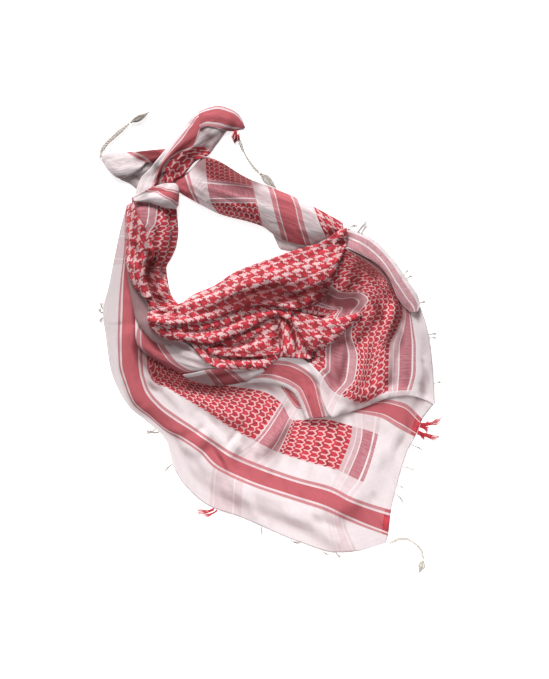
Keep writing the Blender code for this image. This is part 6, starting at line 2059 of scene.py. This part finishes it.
class PlaitedTassel:
    """A cord plaited from three strands, with a knotted tuft of loose threads at its end."""

    def __init__(self, tassel: Tassel, heights: HeightMap, cottons: Cottons) -> None:
        """Keep what the tassel is made from.

        Args:
            tassel: Its sizes.
            heights: Everything that is laid.
            cottons: The materials.
        """
        self.tassel = tassel
        self.heights = heights
        self.material = cottons.red if tassel.name == "red" else cottons.cord
        self.chance = np.random.default_rng(len(tassel.name) * 17 + tassel.threads)
        self.radius = tassel.knot * MM
        bearing = math.radians(tassel.bearing)
        self.heading = np.array((math.cos(bearing), math.sin(bearing), 0.0))
        self.beside = np.array((-self.heading[1], self.heading[0], 0.0))

    def plait(self) -> bpy.types.Object:
        """Plait the cord along its solid.

        Returns:
            The cord.
        """
        node = "braid_" + self.tassel.name
        tree = node_tree(node)
        route = np.array(self.tassel.route)
        wanted = np.linspace(0.0, len(route) - 1.0, CORD_POINTS)
        x, y, radius = smooth_rows(np.arange(len(route)), route, wanted).T
        plan = world_plan(np.stack([x, y], axis=1))
        radius = radius * MM
        thick = radius * CORD_FLATNESS
        height = np.array([face_height(tree, spot, from_below=False) for spot in plan]) - thick
        height = np.maximum(eased(height[:, None], 4)[:, 0], thick)
        line = np.concatenate([plan, height[:, None]], axis=1)
        side = unit(np.cross(np.gradient(line, axis=0), UP))
        mesh = ThreadMesh("plait_" + self.tassel.name)
        turn = run_length(line) / PLAIT_PITCH * math.tau
        for strand in range(PLAIT_STRANDS):
            phase = turn + strand * math.tau / PLAIT_STRANDS
            path = line + side * (np.sin(phase) * radius * 0.58)[:, None]
            path[:, 2] += np.sin(phase * 2.0) * thick * 0.3
            mesh.add(path, radius * 0.48, sides=6)
        obj = mesh.build(self.material)
        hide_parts(node)
        return obj

    def tuft(self) -> bpy.types.Object:
        """Tie the knot and spread its loose threads over its solid.

        Returns:
            The tuft.
        """
        node = "tuft_" + self.tassel.name
        corners = node_triangles(node).reshape(-1, 3)
        heading, beside, radius = self.heading, self.beside, self.radius
        reach = corners @ heading
        rear, front = reach.min(), reach.max()
        knot = corners[reach < rear + radius]
        middle = heading * (rear + radius) + beside * (knot @ beside).mean()
        middle[2] = (knot[:, 2].min() + knot[:, 2].max()) / 2.0
        mesh = ThreadMesh("tuft_threads_" + self.tassel.name)
        turns = np.linspace(0.0, math.tau, HOOP_POINTS)[:, None]
        for lap in range(KNOT_LAPS):
            tilt = lap * math.pi / KNOT_LAPS + 0.3
            over = UP * 0.85 + heading * 0.3 * math.cos(lap * 2.1)
            across = beside * math.cos(tilt) + heading * math.sin(tilt) * 0.7
            hoop = np.cos(turns) * across + np.sin(turns) * over
            mesh.add(middle + hoop * radius * 0.62, np.full(HOOP_POINTS, radius * 0.4), sides=6)
        length = front - rear - 1.6 * radius
        for index in range(self.tassel.threads):
            self.loose_thread(mesh, middle + heading * radius * 0.4, length, index)
        obj = mesh.build(self.material)
        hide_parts(node)
        return obj

    def loose_thread(self, mesh: ThreadMesh, root: Grid, length: float, index: int) -> None:
        """Add one loose thread, bulging from the knot and drawing in at its tip.

        Args:
            mesh: The tuft's mesh.
            root: Where it leaves the knot.
            length: The tuft's length in metres.
            index: Which thread it is.
        """
        radius = self.radius
        turn = self.chance.uniform(0.0, math.tau)
        spread = math.sqrt(self.chance.uniform(0.05, 1.0))
        own = length * self.chance.uniform(0.72, 1.0)
        share = np.linspace(0.0, 1.0, 9)
        bulge = 0.55 + 1.7 * np.sin(share ** 0.8 * math.pi) ** 1.2 - 0.35 * share
        wander = np.sin(share * self.chance.uniform(3.0, 7.0) + turn) * share * radius * 0.3
        line = (root + self.heading * (share * own)[:, None]
                + self.beside * (math.cos(turn) * spread * radius * bulge + wander)[:, None])
        line[:, 2] += math.sin(turn) * spread * radius * bulge * 0.7
        floor = self.heights.support(line[:, :2], reach=1) + TUFT_CLEAR
        line[:, 2] = np.maximum(line[:, 2] - share ** 2 * radius * 0.5, floor)
        width = TUFT_THREAD + 0.12 * math.sin(index) * MM
        mesh.add(line, width * (1.0 - 0.6 * share ** 3))


class FringedEdge:
    """Loose threads along one edge of the cloth, with the twisted cord that binds it."""

    def __init__(self, fringe: Fringe, cloth: ClothStretch, heights: HeightMap, cottons: Cottons) -> None:
        """Find the edge and lay its binding.

        Args:
            fringe: Its sizes.
            cloth: The stretch that it hangs from.
            heights: Everything that is laid.
            cottons: The materials.
        """
        self.fringe = fringe
        self.heights = heights
        self.materials = (cottons.red,) * 3 if fringe.red else (cottons.cord, cottons.fray, cottons.red)
        self.chance = np.random.default_rng(int(fringe.low * 10) + len(fringe.name))
        self.places, line, self.out = self.edge(cloth)
        self.binding = line + self.out * (STRIP_CLEAR + STRIP_WIDTH * 0.35)
        self.binding[:, 2] += BINDING_LIFT
        self.mesh = ThreadMesh(fringe.name + "_threads")

    def edge(self, cloth: ClothStretch) -> tuple[Grid, Grid, Grid]:
        """Find the edge.

        Args:
            cloth: The stretch that it is part of.

        Returns:
            Places along the edge, its points and which way is out.
        """
        net, points = cloth.net, cloth.points
        if self.fringe.along_side:
            places, line, inner = net.along, points[:, 0], points[:, 3]
        else:
            places, line, inner = net.across, points[0], points[3]
        kept = (places >= self.fringe.low) & (places <= self.fringe.high)
        places, line, inner = places[kept], line[kept], inner[kept]
        run = unit(np.gradient(line[:, :2], axis=0))
        out = np.stack([run[:, 1], -run[:, 0]], axis=1)
        if ((line[:, :2] - inner[:, :2]) * out).sum() < 0.0:
            out = -out
        return places, line, np.concatenate([out, np.zeros((len(out), 1))], axis=1)

    def lay(self, line: Grid, radius: float) -> Grid:
        """Rest a thread on what is below it, with its root kept where it is.

        Args:
            line: Its points in metres.
            radius: Its radius in metres.

        Returns:
            Its points as they lie.
        """
        floor = self.heights.support(line[:, :2], reach=1) + radius
        share = np.linspace(0.0, 1.0, len(line))
        line[:, 2] = np.maximum(floor, line[:, 2] + (floor - line[:, 2]) * np.minimum(1.0, share * 2.2))
        return line

    def build(self) -> bpy.types.Object:
        """Make the binding and the threads.

        Returns:
            The fringe.
        """
        length = run_length(self.binding)
        for ply in range(2):
            phase = length / BINDING_PITCH * math.tau + ply * math.pi
            path = self.binding + self.out * (np.sin(phase) * BINDING_SWING)[:, None]
            path[:, 2] += np.cos(phase) * 0.3 * MM + 0.2 * MM
            self.mesh.add(path, np.full(len(path), BINDING_PLY))
        for strand in self.fringe.strands:
            self.tufted_strand(strand)
        for start in np.arange(self.fringe.low + 0.4, self.fringe.high, FRAY_STEP):
            self.short_thread(float(start))
        obj = self.mesh.build(*self.materials)
        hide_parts(self.fringe.name)
        return obj

    def tufted_strand(self, strand: Strand) -> None:
        """Add one drawn tuft of threads.

        Args:
            strand: The tuft's own place, run and width.
        """
        root = at_place(strand.place, self.places, self.binding)
        away = at_place(strand.place, self.places, self.out)
        run = np.array((*strand.run, 0.0)) * CM
        reach = np.linalg.norm(run)
        beside = np.array((-run[1], run[0], 0.0)) / reach
        count = max(6, round(strand.width * 3.0))
        share = np.linspace(0.0, 1.0, 10)
        bow = share * (1.0 - share) * 2.0
        radius = (0.8 if self.fringe.red else 0.7) * MM
        slot = 2 if strand.red else 1
        for index in range(count):
            own = self.chance.uniform(0.7, 1.05)
            spread = (index - (count - 1) / 2.0) / count * 1.4 * strand.width * MM
            line = (root + run * (1.15 * share * own)[:, None] + away * (bow * reach * 0.35)[:, None]
                    + beside * (spread * (0.5 + 1.6 * share ** 2)
                                + np.sin(share * 5.0 + index) * reach * 0.03)[:, None])
            line[:, 2] += 0.35 * MM * (index % 3)
            self.mesh.add(self.lay(line, radius), radius * (1.0 - 0.5 * share ** 2), slot=slot)

    def short_thread(self, start: float) -> None:
        """Add one short frayed thread.

        Args:
            start: Its place along the edge.
        """
        place = start + self.chance.uniform(-0.3, 0.3)
        root = at_place(place, self.places, self.binding)
        away = at_place(place, self.places, self.out)
        beside = np.array((-away[1], away[0], 0.0))
        reach = self.chance.uniform(2.0, 5.0) * MM
        lean = self.chance.uniform(-0.8, 0.8)
        share = np.linspace(0.0, 1.0, 5)
        line = root + away * (share * reach)[:, None] + beside * (share ** 2 * reach * lean)[:, None]
        self.mesh.add(self.lay(line, FRAY_THREAD), np.full(5, FRAY_THREAD), sides=3)


# ---------------------------------------------------------------- the studio and the scarf


@dataclass(frozen=True)
class Lamp:
    """A soft square light: place, target and side in metres, power in watts and spread in degrees."""

    name: str
    spot: tuple[float, float, float]
    faces: tuple[float, float, float]
    side: float
    power: float
    spread: float = 180.0


LAMPS = (
    Lamp("key", (-1.1, 4.2, 2.4), (0.0, 0.0, 0.0), 1.7, 300.0),
    Lamp("panel", (0.06, -0.36, 1.3), (0.06, -0.34, 0.0), 0.7, 1.35, 50.0),
)


@dataclass
class Studio:
    """A pale floor, soft lights and the camera above the scarf."""

    distance: float = 3.0
    lens: float = 79.5
    middle: tuple[float, float] = (0.0095, 0.003)
    sky: float = 0.16
    floor_glow: float = 0.72

    @staticmethod
    def light(lamp: Lamp) -> None:
        """Hang a soft light.

        Args:
            lamp: Its place and strength.
        """
        made = bpy.data.lights.new(lamp.name, "AREA")
        made.size = lamp.side
        made.energy = lamp.power
        made.spread = math.radians(lamp.spread)
        obj = linked(lamp.name, made)
        obj.location = lamp.spot
        obj.rotation_euler = (Vector(lamp.faces) - Vector(lamp.spot)).to_track_quat("-Z", "Y").to_euler()
        obj.visible_camera = False

    def floor(self) -> None:
        """Lay the floor, a white sheet that glows a little, so that shadows on it stay faint."""
        mesh = bpy.data.meshes.new("floor")
        form = bmesh.new()
        bmesh.ops.create_grid(form, x_segments=1, y_segments=1, size=4.0)
        form.to_mesh(mesh)
        form.free()
        made, wire, shader = new_material("floor_white", {
            "Roughness": 0.9, "Specular IOR Level": 0.1, "Emission Color": FLOOR_WHITE.rgba(),
            "Emission Strength": self.floor_glow})
        soft = wire.noise(wire.node("ShaderNodeTexCoord").outputs["Object"], 4.0)
        wire.put(shader["Base Color"], wire.blend(soft, FLOOR_WHITE.rgba(), FLOOR_PALE.rgba()))
        mesh.materials.append(made)
        obj = linked("floor", mesh)
        obj.location.z = -1.0 * MM

    def camera(self) -> None:
        """Hang the camera over the middle of the view, looking straight down."""
        lens = bpy.data.cameras.new("camera")
        lens.lens = self.lens
        obj = linked("camera", lens)
        obj.location = (*self.middle, self.distance)
        bpy.context.scene.camera = obj

    def build(self) -> None:
        """Set up the floor, the lights and the camera."""
        self.floor()
        for lamp in LAMPS:
            self.light(lamp)
        world = bpy.data.worlds.new("soft_white")
        world.use_nodes = True
        sky = world.node_tree.nodes["Background"].inputs
        sky["Color"].default_value = (1.0, 1.0, 1.0, 1.0)
        sky["Strength"].default_value = self.sky
        bpy.context.scene.world = world
        bpy.context.scene.view_settings.view_transform = "Standard"
        self.camera()


@dataclass
class Keffiyeh:
    """The whole scarf."""

    cottons: Cottons
    heights: HeightMap = field(default_factory=HeightMap)
    laid: dict[str, ClothStretch] = field(default_factory=dict)

    def inner_layers(self) -> None:
        """Dress the rounded layers inside the folds in dark painted shade and take their height."""
        for name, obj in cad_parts.items():
            if name.startswith("hidden"):
                obj.data.materials.clear()
                obj.data.materials.append(self.cottons.inner)
                self.heights.add_triangles(node_triangles(name))
                LOG.info("inner layer %s", name)

    def cloth(self) -> None:
        """Lay every stretch, bottom layer first."""
        for stretch in STRETCHES:
            self.laid[stretch.name] = ClothStretch(stretch, self.heights)
        for stretch in STRETCHES:
            cloth = self.laid[stretch.name]
            obj = cloth.build(self.heights)
            obj.data.materials.append(self.cottons.cloth[stretch.finish])
            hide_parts(stretch.name)
            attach(obj, "root")
            width, length, area = cloth.flat_size()
            LOG.info("%s: %.1f by %.1f cm, %.0f cm2", obj.name, width / CM, length / CM, area / CM ** 2)

    def threads(self) -> None:
        """Make the tassels and the fringe."""
        for tassel in TASSELS:
            made = PlaitedTassel(tassel, self.heights, self.cottons)
            for obj in (made.plait(), made.tuft()):
                self.ride(obj, "cord")
        self.ride(PlaitedTassel(RED_TUFT, self.heights, self.cottons).tuft(), "red")
        for row in FRINGES:
            edge = FringedEdge(row, self.laid[row.stretch], self.heights, self.cottons)
            self.ride(edge.build(), "red" if row.red else "cord")

    @staticmethod
    def ride(obj: bpy.types.Object, slot: str) -> None:
        """Tie a thread piece to the scarf.

        Args:
            obj: The piece.
            slot: Not used.
        """
        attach(obj, "root")
        LOG.info("%s: %d faces", obj.name, len(obj.data.polygons))


def main() -> None:
    """Build the studio and the scarf, and note their sizes."""
    logging.basicConfig(level=logging.INFO, format="%(message)s")
    Studio().build()
    scarf = Keffiyeh(Cottons())
    scarf.inner_layers()
    scarf.cloth()
    scarf.threads()


if __name__ == "__main__":
    main()
